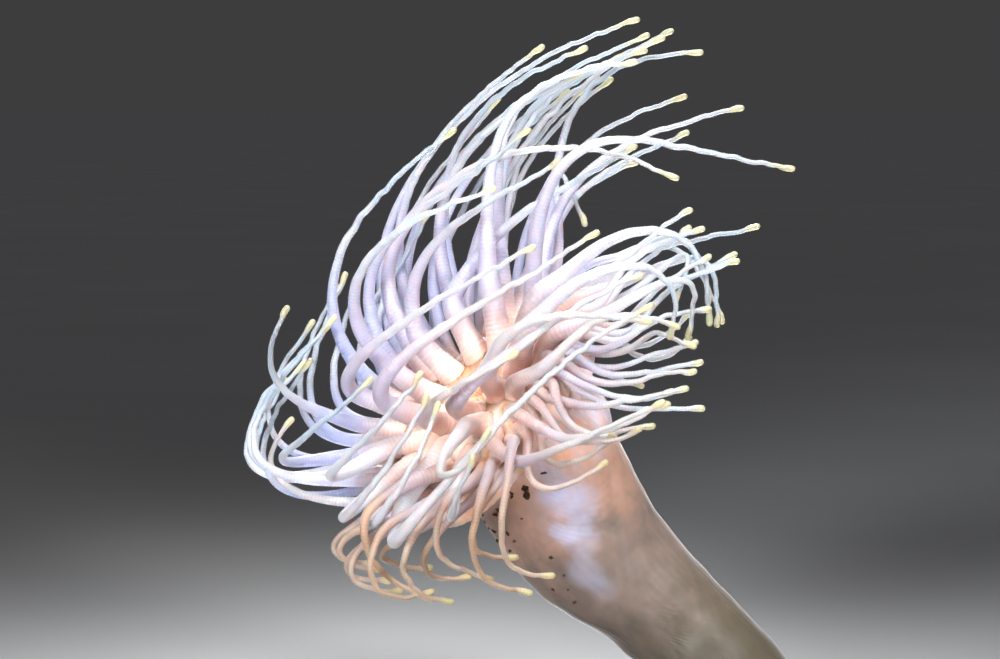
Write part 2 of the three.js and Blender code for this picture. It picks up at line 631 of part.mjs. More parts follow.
put('stand_base', baseBody(), 0x2c2f33, 0.5);
put('pedal_disc', columnLength(5.3, COLUMN.length - 1, 5), 0xd9d2c4, 0.5);
put('column_lower', columnLength(4.0, 5.29, 3), 0xd9d2c4, 0.5);
put('column_middle', columnLength(2.8, 3.99, 3), 0xe4d3c8, 0.5);
put('column_upper', columnLength(COLLAR_END + 0.02, 2.79, 3), 0xf0cfc0, 0.5);
put('collar', collarBody(), 0xf2c9b8, 0.5);
put('mouth', mouthBody(), 0xe9a27c, 0.4);

for (let sector = 0; sector < DISC_SECTORS; sector++) {
  let body = solid(sectorBody(sector));
  const width = 360 / DISC_SECTORS;
  const own = tentacles.filter((t) => {
    const turn = (t.angle * 180) / Math.PI + width / 2;
    return ((Math.floor(turn / width) % DISC_SECTORS) + DISC_SECTORS) % DISC_SECTORS === sector;
  });
  for (const t of own) {
    const end = divided.includes(t) ? DIVISION : 1;
    body = body.add(solid(tentacleLength(t, 0, end, t.cycle < 3 ? 5 : 4)));
  }
  put(`oral_disc_sector_${sector + 1}`, backToThree(body), 0xf6dcd2, 0.45);
}
for (const t of divided) {
  put(`${t.name}_tip_length`, tentacleLength(t, DIVISION + GAP / t.whole, 1, 4), 0xf4efe6, 0.4);
}

export default group;
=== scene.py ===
import math

import bpy
import numpy as np
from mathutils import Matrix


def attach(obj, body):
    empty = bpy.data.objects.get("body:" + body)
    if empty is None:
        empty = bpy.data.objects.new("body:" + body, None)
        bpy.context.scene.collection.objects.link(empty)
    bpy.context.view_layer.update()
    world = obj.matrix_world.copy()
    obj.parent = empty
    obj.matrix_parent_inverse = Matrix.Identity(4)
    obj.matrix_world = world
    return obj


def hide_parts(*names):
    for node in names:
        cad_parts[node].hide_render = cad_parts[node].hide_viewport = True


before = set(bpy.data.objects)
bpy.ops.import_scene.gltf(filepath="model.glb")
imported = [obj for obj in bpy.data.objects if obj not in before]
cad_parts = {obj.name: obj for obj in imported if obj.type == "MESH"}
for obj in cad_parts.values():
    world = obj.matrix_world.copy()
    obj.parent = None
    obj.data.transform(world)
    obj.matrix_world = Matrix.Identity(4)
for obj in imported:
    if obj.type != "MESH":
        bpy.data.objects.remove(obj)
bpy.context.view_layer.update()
FLESH = [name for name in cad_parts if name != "stand_base"]
SEED = 7

# ---- the animal's driving dimensions, in millimetres and degrees, the same as in the CAD source
DISC_CENTRE = np.array([-65.0, -4.0, 146.0])
DISC_FACING = np.array([-0.60, -0.40, 0.69])
DISC_UP_RIGHT = np.array([0.69, 0.0, 0.60])
DISC_RADIUS = 50.0
CROWN_START, RIM_DROP = 27.0, 13.0
# lobes of the margin: number, height, share of the radius, turn, and the radius where they start
LOBES, LOBE_HEIGHT, LOBE_SPREAD, LOBE_TURN, LOBE_START = 3, 2.5, 0.05, 0.6, 20.0
# the margin draws in towards the near right, where the column bends away
DRAWN_IN, DRAWN_ANGLE, DRAWN_WIDTH = 0.32, -40.0, 56.0
MOUTH_SINK, MOUTH_SLOPE = 6.0, (4.0, 14.0)
# cycle: tentacles in it, radius of its ring, angle of its first, root radius
CYCLES = {1: (10, 20.5, -2.0, 5.2), 2: (10, 31.0, 5.0, 4.8), 3: (20, 39.5, 9.0, 4.2), 4: (40, 46.5, 4.5, 3.3),
          5: (40, 51.0, 0.0, 2.7)}
# ring radii over which the roots come to thin with the drawn-in margin
THINNED_ROOTS = (25, 40)
TIP_RADIUS, KNOB_RADIUS = 0.85, 1.3
# the taper: its even share, its fast share and the power of the fast one
TAPER_EVEN, TAPER_FAST, TAPER_POWER = 0.2, 0.8, 2.2
SAMPLES = 28
WAVE_HEIGHT, WAVE_LENGTH, WAVE_PHASE, WAVE_TURN = 1.1, 19.0, 3, 6.2832
WAVE_SPAN = (0.45, 0.85)
SPRAY_CENTRE = np.array([-58.0, -4.0, 150.0])
# how far inner members of a spray stray: tip in millimetres, heading in degrees
STRAY_TIP, STRAY_HEADING = 5, 8
SINE_HASH, HASH_GAIN = (12.9898, 78.233, 37.719), 43758.5453


def row(cycle, *places):
    return [(cycle, place) for place in places]


# sprays of tentacles that drift together: name, roots as (cycle, place), tips of the first and last from the
# spray centre; then, for the first and last: lean from the disc's normal, reach, drift and heading of the tip
SPRAYS = [
    ("left_curl", row(4, 17, 18, 19, 20), (-86, 46, -6), (-64, -4, 24),
     (32, 0), (80, 82), (50, 92), (54, 48)),
    ("left_hook", row(4, 21), (-82, 6, -18), (-82, 6, -18),
     (30, 30), (30, 30), (46, 46), (37, 37)),
    ("left_inner", row(3, 8, 9), (-81, -21, 28), (-47, -46, 2),
     (24, 22), (22, 96), (49, 48), (46, 47)),
    ("left_cross", [(2, 4), (1, 5)], (15, -44, 53), (40, -36, 58),
     (56, 48), (90, 84), (42, 52), (26, 32)),
    ("front_fold", [(2, 5), (3, 10), (3, 11)], (-28, -62, 6), (-22, -58, -6),
     (54, 38), (92, 88), (38, 48), (62, 80)),
    ("front_loop", [(2, 6)], (59, -70, 33), (59, -70, 33),
     (72, 72), (172, 172), (58, 58), (16, 16)),
    ("mid_cross", [(1, 6), (1, 7)], (8, -62, 14), (56, -44, 45),
     (40, 48), (40, 70), (30, 46), (31, 31)),
    ("near_rise", [(2, 7), (3, 13)], (-3, -88, -13), (-9, -96, -22),
     (40, 46), (72, 56), (57, 40), (66, 74)),
    ("fringe_left", row(4, 22, 23, 24, 25), (-48, -26, -73), (-24, -56, -80),
     (14, 10), (34, 76), (42, 38), (-6, 22)),
    ("fringe_right", [(3, 12), (4, 26), (4, 27), (4, 28), (4, 29)], (-25, -46, -82), (22, -60, -72),
     (18, 16), (72, 74), (30, 46), (-5, 14)),
    ("arc_outer", row(3, 7, 6), (-16, 19, 97), (14, 6, 97),
     (24, 6), (32, 94), (104, 36), (32, 48)),
    ("arc_long", [(2, 3)], (71, -8, 78), (71, -8, 78),
     (52, 52), (122, 122), (74, 74), (-48, -48)),
    ("arc_inner", row(1, 4, 3, 2), (0, -20, 74), (55, 4, 92),
     (36, 34), (72, 56), (60, 42), (10, 37)),
    ("crest", row(3, 5, 4, 3, 2), (19, 44, 132), (85, 54, 130),
     (44, 60), (96, 100), (80, 90), (34, -2)),
    ("crest_back", row(4, 12, 11, 10), (59, 64, 144), (75, 88, 138),
     (18, 20), (104, 100), (66, 60), (8, 20)),
    ("crest_inner", [(2, 2), (2, 1), (1, 1)], (36, 32, 121), (56, 16, 126),
     (39, 43), (88, 104), (50, 57), (23, 6)),
    ("crest_right", row(4, 9, 8, 7), (69, 58, 136), (43, 90, 120),
     (40, 40), (70, 94), (70, 40), (20, 14)),
    ("right_long", [(2, 0)], (117, -11, 82), (117, -11, 82),
     (22, 22), (134, 134), (73, 73), (-7, -7)),
    ("right_back", [(4, 5), (4, 4), (3, 1)], (59, 70, 83), (100, 30, 107),
     (37, 28), (55, 40), (55, 96), (21, 12)),
    ("right_droop", [(4, 3)], (36, 34, 59), (36, 34, 59),
     (45, 45), (44, 44), (88, 88), (-68, -68)),
    ("bundle_hook", [(3, 0), (1, 0), (2, 9), (1, 9)], (88, 6, 20), (68, -34, 18),
     (68, 44), (84, 92), (52, 46), (-94, -128)),
    ("bundle_reach", [(4, 1), (4, 0), (3, 19), (4, 38), (4, 37)], (78, 18, 66), (95, -18, 46),
     (54, 58), (40, 56), (66, 70), (36, 12)),
    ("bundle_low", [(4, 39), (4, 6)], (80, 30, 22), (61, 62, -10),
     (20, 42), (40, 34), (56, 42), (44, -13)),
    ("bundle_swing", [(4, 2)], (80, 50, 12), (80, 50, 12),
     (30, 30), (40, 40), (50, 50), (62, 62)),
    ("side_reach", row(3, 17, 16, 15, 14), (77, -36, 6), (62, -88, -2),
     (60, 50), (30, 36), (40, 54), (8, 27)),
    ("side_fringe", row(4, 33, 32, 31, 30), (60, -52, -14), (42, -62, -28),
     (14, 10), (16, 20), (44, 56), (22, 38)),
    ("near_reach", [(3, 18), (2, 8), (1, 8)], (77, -26, 13), (59, -60, 26),
     (62, 38), (62, 64), (48, 46), (-34, -10)),
    ("side_back", row(4, 34, 35, 36), (69, -36, -4), (84, -20, 28),
     (30, 30), (24, 28), (28, 30), (14, 0)),
    ("left_back", row(4, 16, 15, 14, 13), (-61, 52, 37), (-27, 66, 62),
     (36, 36), (50, 44), (60, 50), (60, 56)),
    ("rim_left", row(5, 19, 17, 16), (-73, 2, 5), (-66, 68, 32),
     (20, 24), (70, 56), (60, 60), (46, 60)),
    ("rim_crest", row(5, 13, 12, 11, 9, 8), (2, 76, 110), (50, 108, 118),
     (36, 36), (84, 84), (60, 60), (44, 30)),
    ("rim_far", row(5, 7, 5), (79, 66, 112), (106, 24, 59),
     (30, 30), (60, 40), (70, 60), (14, 16)),
    ("rim_hook", row(5, 4, 3, 1), (91, 22, 20), (72, -6, 30),
     (48, 48), (60, 60), (52, 44), (-80, -110)),
    ("rim_side", row(5, 39, 36, 35), (84, -14, 48), (80, -36, -9),
     (50, 24), (40, 20), (50, 50), (24, 6)),
    ("rim_fringe", row(5, 29, 27, 25, 23), (8, -54, -66), (-42, -18, -80),
     (10, 10), (50, 40), (44, 40), (12, 0)),
]

# stations down the column's axis: x, y, z, radius
COLUMN = np.array([
    [-48.0, 6.0, 139.0, 36.5],
    [-46.5, 9.0, 134.0, 34.5],
    [-37.5, 14.5, 111.0, 32.5],
    [-21.5, 18.0, 83.0, 30.5],
    [7.0, 16.0, 56.0, 24.0],
    [28.0, 14.0, 37.0, 23.5],
    [39.0, 12.5, 25.0, 26.0],
    [43.0, 12.0, 16.0, 33.0],
    [44.0, 12.0, 10.1, 42.0],
])
LAST_STATION = len(COLUMN) - 1
# the stations between which the rings turn level with the base
LEVELLING = (3.6, LAST_STATION - 1.2)


# ---- small helpers
def unit(v):
    return v / np.sqrt((v * v).sum(-1, keepdims=True))


def mix(a, b, t):
    return a + (b - a) * t


def smooth(a, b, x):
    t = np.clip((x - a) / (b - a), 0, 1)
    return t * t * (3 - 2 * t)


def outer_sum(a, along_a, b, along_b):
    return np.multiply.outer(a, along_a) + np.multiply.outer(b, along_b)


def catmull(a, b, c, d, u):
    """The Catmull-Rom curve between b and c."""
    square, cube = 2 * a - 5 * b + 4 * c - d, 3 * b - a - 3 * c + d
    return 0.5 * (2 * b + (c - a) * u + square * u * u + cube * u ** 3)


def bezier(a, b, c, d, u):
    return a * (1 - u) ** 3 + b * 3 * (1 - u) ** 2 * u + c * 3 * (1 - u) * u * u + d * u ** 3


def length_along(points):
    """Length from the first point to each one."""
    return np.concatenate([[0], np.cumsum(np.linalg.norm(np.diff(points, axis=0), axis=1))])


def sampled(want, at, values):
    return np.stack([np.interp(want, at, column) for column in values.T], 1)


def scatter(cycle, place, which):
    """A repeatable number in -1..1 for a tentacle."""
    s = math.sin(cycle * SINE_HASH[0] + place * SINE_HASH[1] + which * SINE_HASH[2]) * HASH_GAIN
    return 2 * (s - math.floor(s)) - 1


def colour(code):
    """A linear colour from an sRGB code such as 'f3d9cc'."""
    part = np.array([int(code[i:i + 2], 16) / 255 for i in (0, 2, 4)])
    return np.where(part <= 0.04045, part / 12.92, ((part + 0.055) / 1.055) ** 2.4)


# ---- the disc's frame and surface
NORMAL = unit(DISC_FACING)
RIGHT = unit(DISC_UP_RIGHT - NORMAL * (DISC_UP_RIGHT @ NORMAL))
AWAY = np.cross(NORMAL, RIGHT)


def crown_drop(r):
    return RIM_DROP * np.maximum(0, (r - CROWN_START) / (DISC_RADIUS - CROWN_START)) ** 2


def margin_at(angle):
    """The share of its full reach that the margin keeps at an angle."""
    off = (np.degrees(angle) - DRAWN_ANGLE + 180) % 360 - 180
    return 1 - DRAWN_IN * np.exp(-(off / DRAWN_WIDTH) ** 2)


def disc_point(r, angle):
    lobe = LOBE_SPREAD * np.cos(LOBES * angle + LOBE_TURN) + margin_at(angle) - 1
    spread = r * (1 + lobe * smooth(LOBE_START, DISC_RADIUS, r))
    height = LOBE_HEIGHT * np.sin(LOBES * angle) * (r / DISC_RADIUS) ** 2
    height = height - MOUTH_SINK * (1 - smooth(*MOUTH_SLOPE, r)) - crown_drop(r)
    across = outer_sum(spread * np.cos(angle), RIGHT, spread * np.sin(angle), AWAY)
    return DISC_CENTRE + across + np.multiply.outer(height, NORMAL)


def disc_normal(r, angle, step=0.5):
    out = disc_point(r + step, angle) - disc_point(r - step, angle)
    turn = disc_point(r, angle + step / r) - disc_point(r, angle - step / r)
    return unit(np.cross(out, turn))


# ---- the column's axis and rings
def column_at(t):
    """Centre and radius at stations t along the axis."""
    t = np.atleast_1d(t).astype(float)
    k = np.minimum(len(COLUMN) - 2, np.floor(t).astype(int))
    u = (t - k)[:, None]
    a, b, c, d = (COLUMN[np.clip(k + j, 0, LAST_STATION)] for j in (-1, 0, 1, 2))
    return catmull(a, b, c, d, u)


def column_ring(t, angles, step=0.05):
    """A ring of skin points at station t, with its angles in line with the disc's."""
    ends = column_at([max(0, t - step), min(LAST_STATION, t + step)])
    level = smooth(*LEVELLING, t)
    ahead = unit(unit(ends[1, :3] - ends[0, :3]) * (1 - level) + np.array([0, 0, -1.0]) * level)
    side = unit(RIGHT - ahead * (RIGHT @ ahead))
    here = column_at(t)[0]
    across = outer_sum(np.cos(angles), side, np.sin(angles), np.cross(side, ahead))
    return here[:3] + here[3] * across


# ---- tentacle centrelines
def radius_at(root, s):
    return TIP_RADIUS + (root - TIP_RADIUS) * (TAPER_EVEN * (1 - s) + TAPER_FAST * (1 - s) ** TAPER_POWER)


def evenly(points, count):
    along = length_along(points)
    return sampled(along[-1] * np.arange(count + 1) / count, along, points)


def grow(spray, member):
    """The centreline of one tentacle of a spray, before it is eased clear."""
    name, roots, first, last, lean, reach, drift, heading = spray
    cycle, place = roots[member]
    count, ring, start, root = CYCLES[cycle]
    end = len(roots) - 1
    t = member / end if end else 0.0
    angle = math.radians(start + 360 / count * place)
    root *= mix(1, margin_at(angle), smooth(*THINNED_ROOTS, ring))
    base = disc_point(ring, angle)
    normal = disc_normal(ring, angle)
    outward = unit(disc_point(ring + 1, angle) - base)
    tilt = math.radians(mix(*lean, t))
    away = normal * math.cos(tilt) + outward * math.sin(tilt)
    tip = SPRAY_CENTRE + mix(np.array(first, float), np.array(last, float), t)
    aim = mix(*heading, t)
    if 0 < member < end:
        tip = tip + STRAY_TIP * np.array([scatter(cycle, place, k) for k in (1, 2, 3)])
        aim += STRAY_HEADING * scatter(cycle, place, 4)
    trail = np.array([math.cos(math.radians(aim)), 0, math.sin(math.radians(aim))])
    b, c = base + away * mix(*reach, t), tip - trail * mix(*drift, t)
    u = (np.arange(SAMPLES + 1) / SAMPLES)[:, None]
    points = evenly(bezier(base, b, c, tip, u), SAMPLES)
    whole = float(np.linalg.norm(np.diff(points, axis=0), axis=1).sum())
    phase = WAVE_PHASE * scatter(cycle, place, 5)
    for i in range(1, SAMPLES + 1):
        s = i / SAMPLES
        side = unit(np.cross(unit(points[min(SAMPLES, i + 1)] - points[i - 1]), [0.0, 1.0, 0.0]))
        ripple = WAVE_HEIGHT * smooth(*WAVE_SPAN, s) * math.sin(phase + WAVE_TURN * s * whole / WAVE_LENGTH)
        points[i] = points[i] + side * ripple
    return {"spray": name, "root": root, "base": base, "normal": normal, "points": points}


# ---- easing the tentacles clear, in millimetres and rounds
CLEARANCE, BODY_CLEARANCE = 1.5, 1
PAIR_REACH, PAIR_ROUNDS, ROUNDS = 24.0, 20, 260
# shares of a tentacle's length between which it comes free of its root
FREE_SPAN = (0.02, 0.12)
COLUMN_POSTS = 30
PUSH_SHARE, LIFT_SHARE = 0.5, 0.35
# a point is lifted off the disc if it is nearer the axis than this and sunk less than this
LIFT_REACH, LIFT_DEPTH = 52, 15
EASINGS, STEP_GAIN, STIFFNESS = 3, 1.5, 0.02


def settle(tentacles):
    """Eases every tentacle clear of the others, of the column and of the disc, as the CAD source does."""
    n, stride = len(tentacles), SAMPLES + 1
    total = n * stride
    s = np.arange(stride) / SAMPLES
    x = np.concatenate([t["points"] for t in tentacles])
    r = np.concatenate([radius_at(t["root"], s) for t in tentacles])
    owner = np.repeat(np.arange(n), stride)
    free = smooth(*FREE_SPAN, s)[None, :, None]
    posts = column_at(np.arange(COLUMN_POSTS + 1) / COLUMN_POSTS * LAST_STATION)
    every = np.arange(total)
    for turn in range(ROUNDS):
        if turn % PAIR_ROUNDS == 0:
            square = (x * x).sum(1)
            close = square[:, None] + square[None] - 2 * (x @ x.T) < PAIR_REACH ** 2
            a, b = np.nonzero(np.triu(close, 1))
            keep = owner[a] != owner[b]
            a, b = a[keep], b[keep]
        gap = x[b] - x[a]
        far = np.sqrt((gap * gap).sum(1))
        need = r[a] + r[b] + CLEARANCE
        hit = far < need
        ha, hb = a[hit], b[hit]
        push = gap[hit] * ((need[hit] - far[hit]) * PUSH_SHARE / np.maximum(far[hit], 1e-6))[:, None]
        hits = np.bincount(ha, minlength=total) + np.bincount(hb, minlength=total)
        move = np.stack([np.bincount(hb, p, total) - np.bincount(ha, p, total) for p in push.T], 1)
        move /= np.maximum(1, hits)[:, None]
        away = x[:, None] - posts[None, :, :3]
        length = np.sqrt((away * away).sum(2))
        near = (length - posts[None, :, 3]).argmin(1)
        depth = length[every, near] - posts[near, 3]
        room = r + BODY_CLEARANCE
        share = np.where(depth < room, PUSH_SHARE * (room - depth) / length[every, near], 0)
        move += share[:, None] * away[every, near]
        q = x - DISC_CENTRE
        height = q @ NORMAL
        across = np.sqrt(((q - NORMAL * height[:, None]) ** 2).sum(1))
        lift = r + BODY_CLEARANCE - crown_drop(across) - height
        under = (across < LIFT_REACH) & (lift > 0) & (lift < LIFT_DEPTH + r)
        move += NORMAL * np.where(under, LIFT_SHARE * lift, 0)[:, None]
        move = move.reshape(n, stride, 3) * free
        for _ in range(EASINGS):
            eased = move.copy()
            eased[:, 1:-1] = 0.25 * move[:, :-2] + 0.5 * move[:, 1:-1] + 0.25 * move[:, 2:]
            move = eased * free
        p = (x + STEP_GAIN * move.reshape(total, 3)).reshape(n, stride, 3)
        bend = np.zeros_like(p)
        bend[:, 1:-1] = p[:, :-2] - 2 * p[:, 1:-1] + p[:, 2:]
        x = (p + STIFFNESS * bend * free).reshape(total, 3)
    for k, t in enumerate(tentacles):
        t["points"] = x[k * stride:(k + 1) * stride]


TENTACLES = [grow(spray, member) for spray in SPRAYS for member in range(len(spray[1]))]
settle(TENTACLES)


# ---- tentacle skins: lengths in millimetres, noise steps in folds
SIDES = 14
RINGS_PER_FOLD = 4
# the curve starts below the disc: spacing of its two points there, place where the skin starts, and step
PHANTOM, SUNK_PLACE, CURVE_STEP = 4.0, 0.35, 0.04
FOLD_BASE, FOLD_GROWTH = 1.15, 0.15
FOLD_HEIGHT, FOLD_SHARE, FOLD_START = 0.048, 0.022, 4
# how far each of a fold's rings stands out, and how much that varies from fold to fold
FOLD_SHAPE = [-1.0, 0.35, 0.75, 0.35]
FOLD_MEAN, FOLD_CHANCE, FOLD_CHANCE_STEP = 0.75, 0.35, 3.7
FLARE, FLARE_LENGTH = 0.24, 3.0
GIRTH_CHANCE, GIRTH_RINGS = 0.035, 22
KNOB_LENGTH, KNOB_BEFORE, KNOB_AFTER, KNOB_FLATNESS = 3.4, 2.5, 1.6, 0.7
CAP_RINGS = 4
# small kinks: they grow between two shares of the length and ease again at the tip
KINK, KINK_STEP, FINE_KINK, FINE_KINK_STEP = 0.48, 4, 0.5, 2.2
SLACK_SPAN, STIFF_TIP = (0.35, 0.75), (0.97, 1)


def noise_row(rng, count, step):
    """A smooth random row in about -1..1 that turns over every `step` places."""
    knots = rng.uniform(-1, 1, int(count / step) + 4)
    at = np.arange(count) / step
    k = at.astype(int)
    u = smooth(0, 1, at - k)
    return knots[k] * (1 - u) + knots[k + 1] * u


def spline(points, u):
    """A smooth curve that keeps near the points; u is 0 at the second of them."""
    k = np.clip(np.floor(u).astype(int), 0, len(points) - 4)
    f = (u - k)[:, None]
    a, b, c, d = (points[k + j] for j in range(4))
    return ((1 - f) ** 3 * a + (3 * f ** 3 - 6 * f * f + 4) * b + (-3 * f ** 3 + 3 * f * f + 3 * f + 1) * c
            + f ** 3 * d) / 6


def carried_sides(ahead):
    """Cross directions carried along a curve without twist."""
    side = np.cross(ahead[0], [0.0, 1.0, 0.0] if abs(ahead[0, 1]) < 0.9 else [1.0, 0.0, 0.0])
    sides = np.empty_like(ahead)
    for i, t in enumerate(ahead):
        side = side - t * (side @ t)
        side = side / math.sqrt(side @ side)
        sides[i] = side
    return sides


def cross_frame(centre):
    """Directions ahead along a curve and two across it."""
    ahead = unit(np.gradient(centre, axis=0))
    sides = carried_sides(ahead)
    return ahead, sides, np.cross(ahead, sides)


def tentacle_skin(tentacle, rng):
    """Rings of skin points from below the disc to the rounded tip, with their colours and flow."""
    points, root = tentacle["points"], tentacle["root"]
    below = [tentacle["base"] - tentacle["normal"] * PHANTOM * k for k in (2, 1)]
    control = np.vstack([below, points, 2 * points[-1] - points[-2]])
    u = np.arange(SUNK_PLACE, SAMPLES + 1, CURVE_STEP)
    line = spline(control, u)
    step = np.linalg.norm(np.diff(line, axis=0), axis=1)
    along = np.concatenate([[0], np.cumsum(step)])
    along -= np.interp(1.0, u, along)
    share = np.clip((u - 1) / SAMPLES, 0, 1)
    fold_length = FOLD_BASE + FOLD_GROWTH * radius_at(root, share)
    phase = np.concatenate([[0], np.cumsum(step / fold_length[1:])])
    folds = math.floor(phase[-1])
    want = np.arange(folds * RINGS_PER_FOLD + 1) * (phase[-1] / folds / RINGS_PER_FOLD)
    centre = sampled(want, phase, line)
    d, s = np.interp(want, phase, along), np.interp(want, phase, share)
    count = len(want)

    _, sides, ups = cross_frame(centre)
    slack = smooth(*SLACK_SPAN, s) * (1 - 0.5 * smooth(*STIFF_TIP, s))
    for cross in (sides, ups):
        kink = noise_row(rng, count, KINK_STEP * RINGS_PER_FOLD)
        kink = kink + FINE_KINK * noise_row(rng, count, FINE_KINK_STEP * RINGS_PER_FOLD)
        centre = centre + cross * (KINK * slack * kink)[:, None]
    ahead, sides, ups = cross_frame(centre)

    knob = smooth(KNOB_LENGTH + KNOB_BEFORE, KNOB_LENGTH - KNOB_AFTER, along[-1] - d)
    flare = 1 + FLARE * np.exp(-np.maximum(d, 0) / FLARE_LENGTH)
    radius = radius_at(root, s) * flare * (1 + GIRTH_CHANCE * noise_row(rng, count, GIRTH_RINGS))
    radius = mix(radius, KNOB_RADIUS, knob)
    height = FOLD_MEAN + FOLD_CHANCE * noise_row(rng, count, FOLD_CHANCE_STEP * RINGS_PER_FOLD)
    crest = np.choose(np.arange(count) % RINGS_PER_FOLD, FOLD_SHAPE) * height
    fold = FOLD_HEIGHT + FOLD_SHARE * radius
    radius = radius + crest * fold * smooth(0, FOLD_START, d) * (1 - KNOB_FLATNESS * knob)

    bend = np.linspace(0, math.pi / 2, CAP_RINGS + 1)[1:]
    caps = []
    for end, sign in ((0, -1), (count - 1, 1)):
        caps.append((centre[end] + np.multiply.outer(np.sin(bend) * radius[end] * sign, ahead[end]),
                     radius[end] * np.cos(bend)))
    first, last = caps
    centre = np.vstack([first[0][-2::-1], centre, last[0][:-1]])
    radius = np.concatenate([first[1][-2::-1], radius, last[1][:-1]])
    spare = CAP_RINGS - 1
    sides, ups = (np.pad(v, ((spare, spare), (0, 0)), mode="edge") for v in (sides, ups))
    d, s, crest = (np.pad(v, spare, mode="edge") for v in (d, s, crest))

    turn = np.arange(SIDES) * (2 * math.pi / SIDES)
    across = sides[:, None] * np.cos(turn)[None, :, None] + ups[:, None] * np.sin(turn)[None, :, None]
    around = turn[None] * radius[:, None]
    return {"rings": centre[:, None] + across * radius[:, None, None], "poles": (first[0][-1], last[0][-1]),
            "tint": tentacle_tint(tentacle, d, s, crest, rng), "clear": smooth(*CLEAR_SPAN, d),
            "flow": np.stack([around, np.broadcast_to(d[:, None], around.shape)], 2)}


# ---- tentacle colours: peach at the root, lilac to pearl in the thick part, the blue-lilac partly painted shade, then cream, blue-grey or tan,
# the tan partly painted shade on the lower fringe, and pale yellow at the tip; painted light on fold crests,
# painted shade in grooves
ROOT_GLOW = colour("e3b39b")
ROOT_PINK = colour("e8d0cb")
LILAC = colour("ddd7e8")
# blue-lilac, partly the tentacles' own tint and partly painted shade on the left sprays
BLUE_LILAC_AND_SHADE = colour("c6ccec")
CREAM = colour("e6e8ee")
# tan, partly the tentacles' own tone and partly painted shade on the lower fringe
TAN_AND_SHADE = colour("cfa985")
PEARL = colour("f4f2f9")
OUTER_BLUE = colour("bac8d3")
TIP_YELLOW = colour("ece0a8")
# how much of a colour each spray takes; the tan and blue-lilac shares are partly painted shade
TAN_AND_SHADE_SPRAYS = {"fringe_left": 0.75, "fringe_right": 0.8, "rim_fringe": 0.8, "side_fringe": 0.45,
                 "side_reach": 0.2, "near_rise": 0.2, "near_reach": 0.2, "front_fold": 0.15,
                 "front_loop": 0.2, "left_hook": 0.2, "left_cross": 0.15, "mid_cross": 0.2}
PEACH_SPRAYS = {"side_reach": 1.0, "side_fringe": 1.0, "rim_side": 1.0, "near_rise": 0.4, "near_reach": 0.6,
                "mid_cross": 0.7, "fringe_right": 0.6, "bundle_hook": 0.6, "bundle_reach": 0.4,
                "front_fold": 0.1}
PALE_SPRAYS = {"left_hook": 0.9, "left_curl": 0.5, "front_fold": 1.0, "front_loop": 0.9, "near_rise": 0.8,
               "near_reach": 0.9, "bundle_reach": 0.7, "bundle_hook": 0.6, "bundle_low": 0.6, "rim_hook": 0.8}
BLUE_AND_SHADE_SPRAYS = {"left_curl": 0.6, "left_hook": 0.1, "left_back": 1.0, "rim_left": 1.0, "left_inner": 0.9,
               "arc_outer": 0.8, "crest": 0.6, "crest_back": 0.5, "rim_crest": 0.5, "rim_far": 0.5,
               "right_back": 0.4}
USUAL_BLUE, BLUE_CHANCE, TAN_CHANCE = 0.1, 0.2, 0.12
# spans over which colours come in, in millimetres from the root; more on peach sprays
PINK_SPAN, PINK_MORE = (26, 7), 20
GLOW_SPAN, GLOW_MORE, GLOW_SHARE, GLOW_LESS = (8, -1), 30, 0.75, 0.15
CLEAR_SPAN = (2, 14)
# and in shares of the length
CREAM_SPAN, BLUE_SPAN, TAN_SPAN, YELLOW_SPAN = (0.34, 0.62), (0.45, 0.8), (0.15, 0.5), (0.93, 0.985)
BLUE_BASE, BLUE_GAIN, BLUE_LOSS, YELLOW_SHARE = 0.35, 0.9, 1.2, 0.7
# painted light on fold crests and painted shade in the grooves between them
CREST_PAINTED_LIGHT_AND_SHADE = 0.08


def tentacle_tint(tentacle, d, s, crest, rng):
    """The palette blended along one tentacle, with painted light on the fold crests and painted shade in the
    grooves.
    """
    spray = tentacle["spray"]
    tan_and_shade = TAN_AND_SHADE_SPRAYS.get(spray, 0.0) + TAN_CHANCE * rng.uniform(-1, 1)
    blue_and_shade = BLUE_AND_SHADE_SPRAYS.get(spray, USUAL_BLUE) + BLUE_CHANCE * rng.uniform(-1, 1)
    # blue-lilac in the thick part, partly painted shade on the left sprays
    thick = mix(mix(LILAC, BLUE_LILAC_AND_SHADE, np.clip(blue_and_shade, 0, 1)), PEARL, PALE_SPRAYS.get(spray, 0.0))
    tint = np.tile(thick, (len(d), 1))
    peach = PEACH_SPRAYS.get(spray, 0.0)
    glow = GLOW_SHARE - GLOW_LESS * peach
    outer_blue = np.clip(BLUE_BASE + BLUE_GAIN * blue_and_shade - BLUE_LOSS * tan_and_shade, 0, 1)
    steps = ((ROOT_PINK, smooth(PINK_SPAN[0] + PINK_MORE * peach, PINK_SPAN[1], d)),
             (ROOT_GLOW, glow * smooth(GLOW_SPAN[0] + GLOW_MORE * peach, GLOW_SPAN[1], d)),
             (CREAM, smooth(*CREAM_SPAN, s)),
             (OUTER_BLUE, outer_blue * smooth(*BLUE_SPAN, s)),
             # tan, partly painted shade on the lower fringe sprays
             (TAN_AND_SHADE, np.clip(tan_and_shade, 0, 1) * smooth(*TAN_SPAN, s)),
             (TIP_YELLOW, YELLOW_SHARE * smooth(*YELLOW_SPAN, s)))
    for target, share in steps:
        tint = mix(tint, target, share[:, None])
    # painted light on the fold crests, painted shade in the grooves
    return tint * (1 + CREST_PAINTED_LIGHT_AND_SHADE * crest)[:, None]


# ---- the body: one surface from the throat over lips, disc and rim, down the collar and column to the sole
AROUND = 480
ANGLES = np.arange(AROUND) * (2 * math.pi / AROUND)
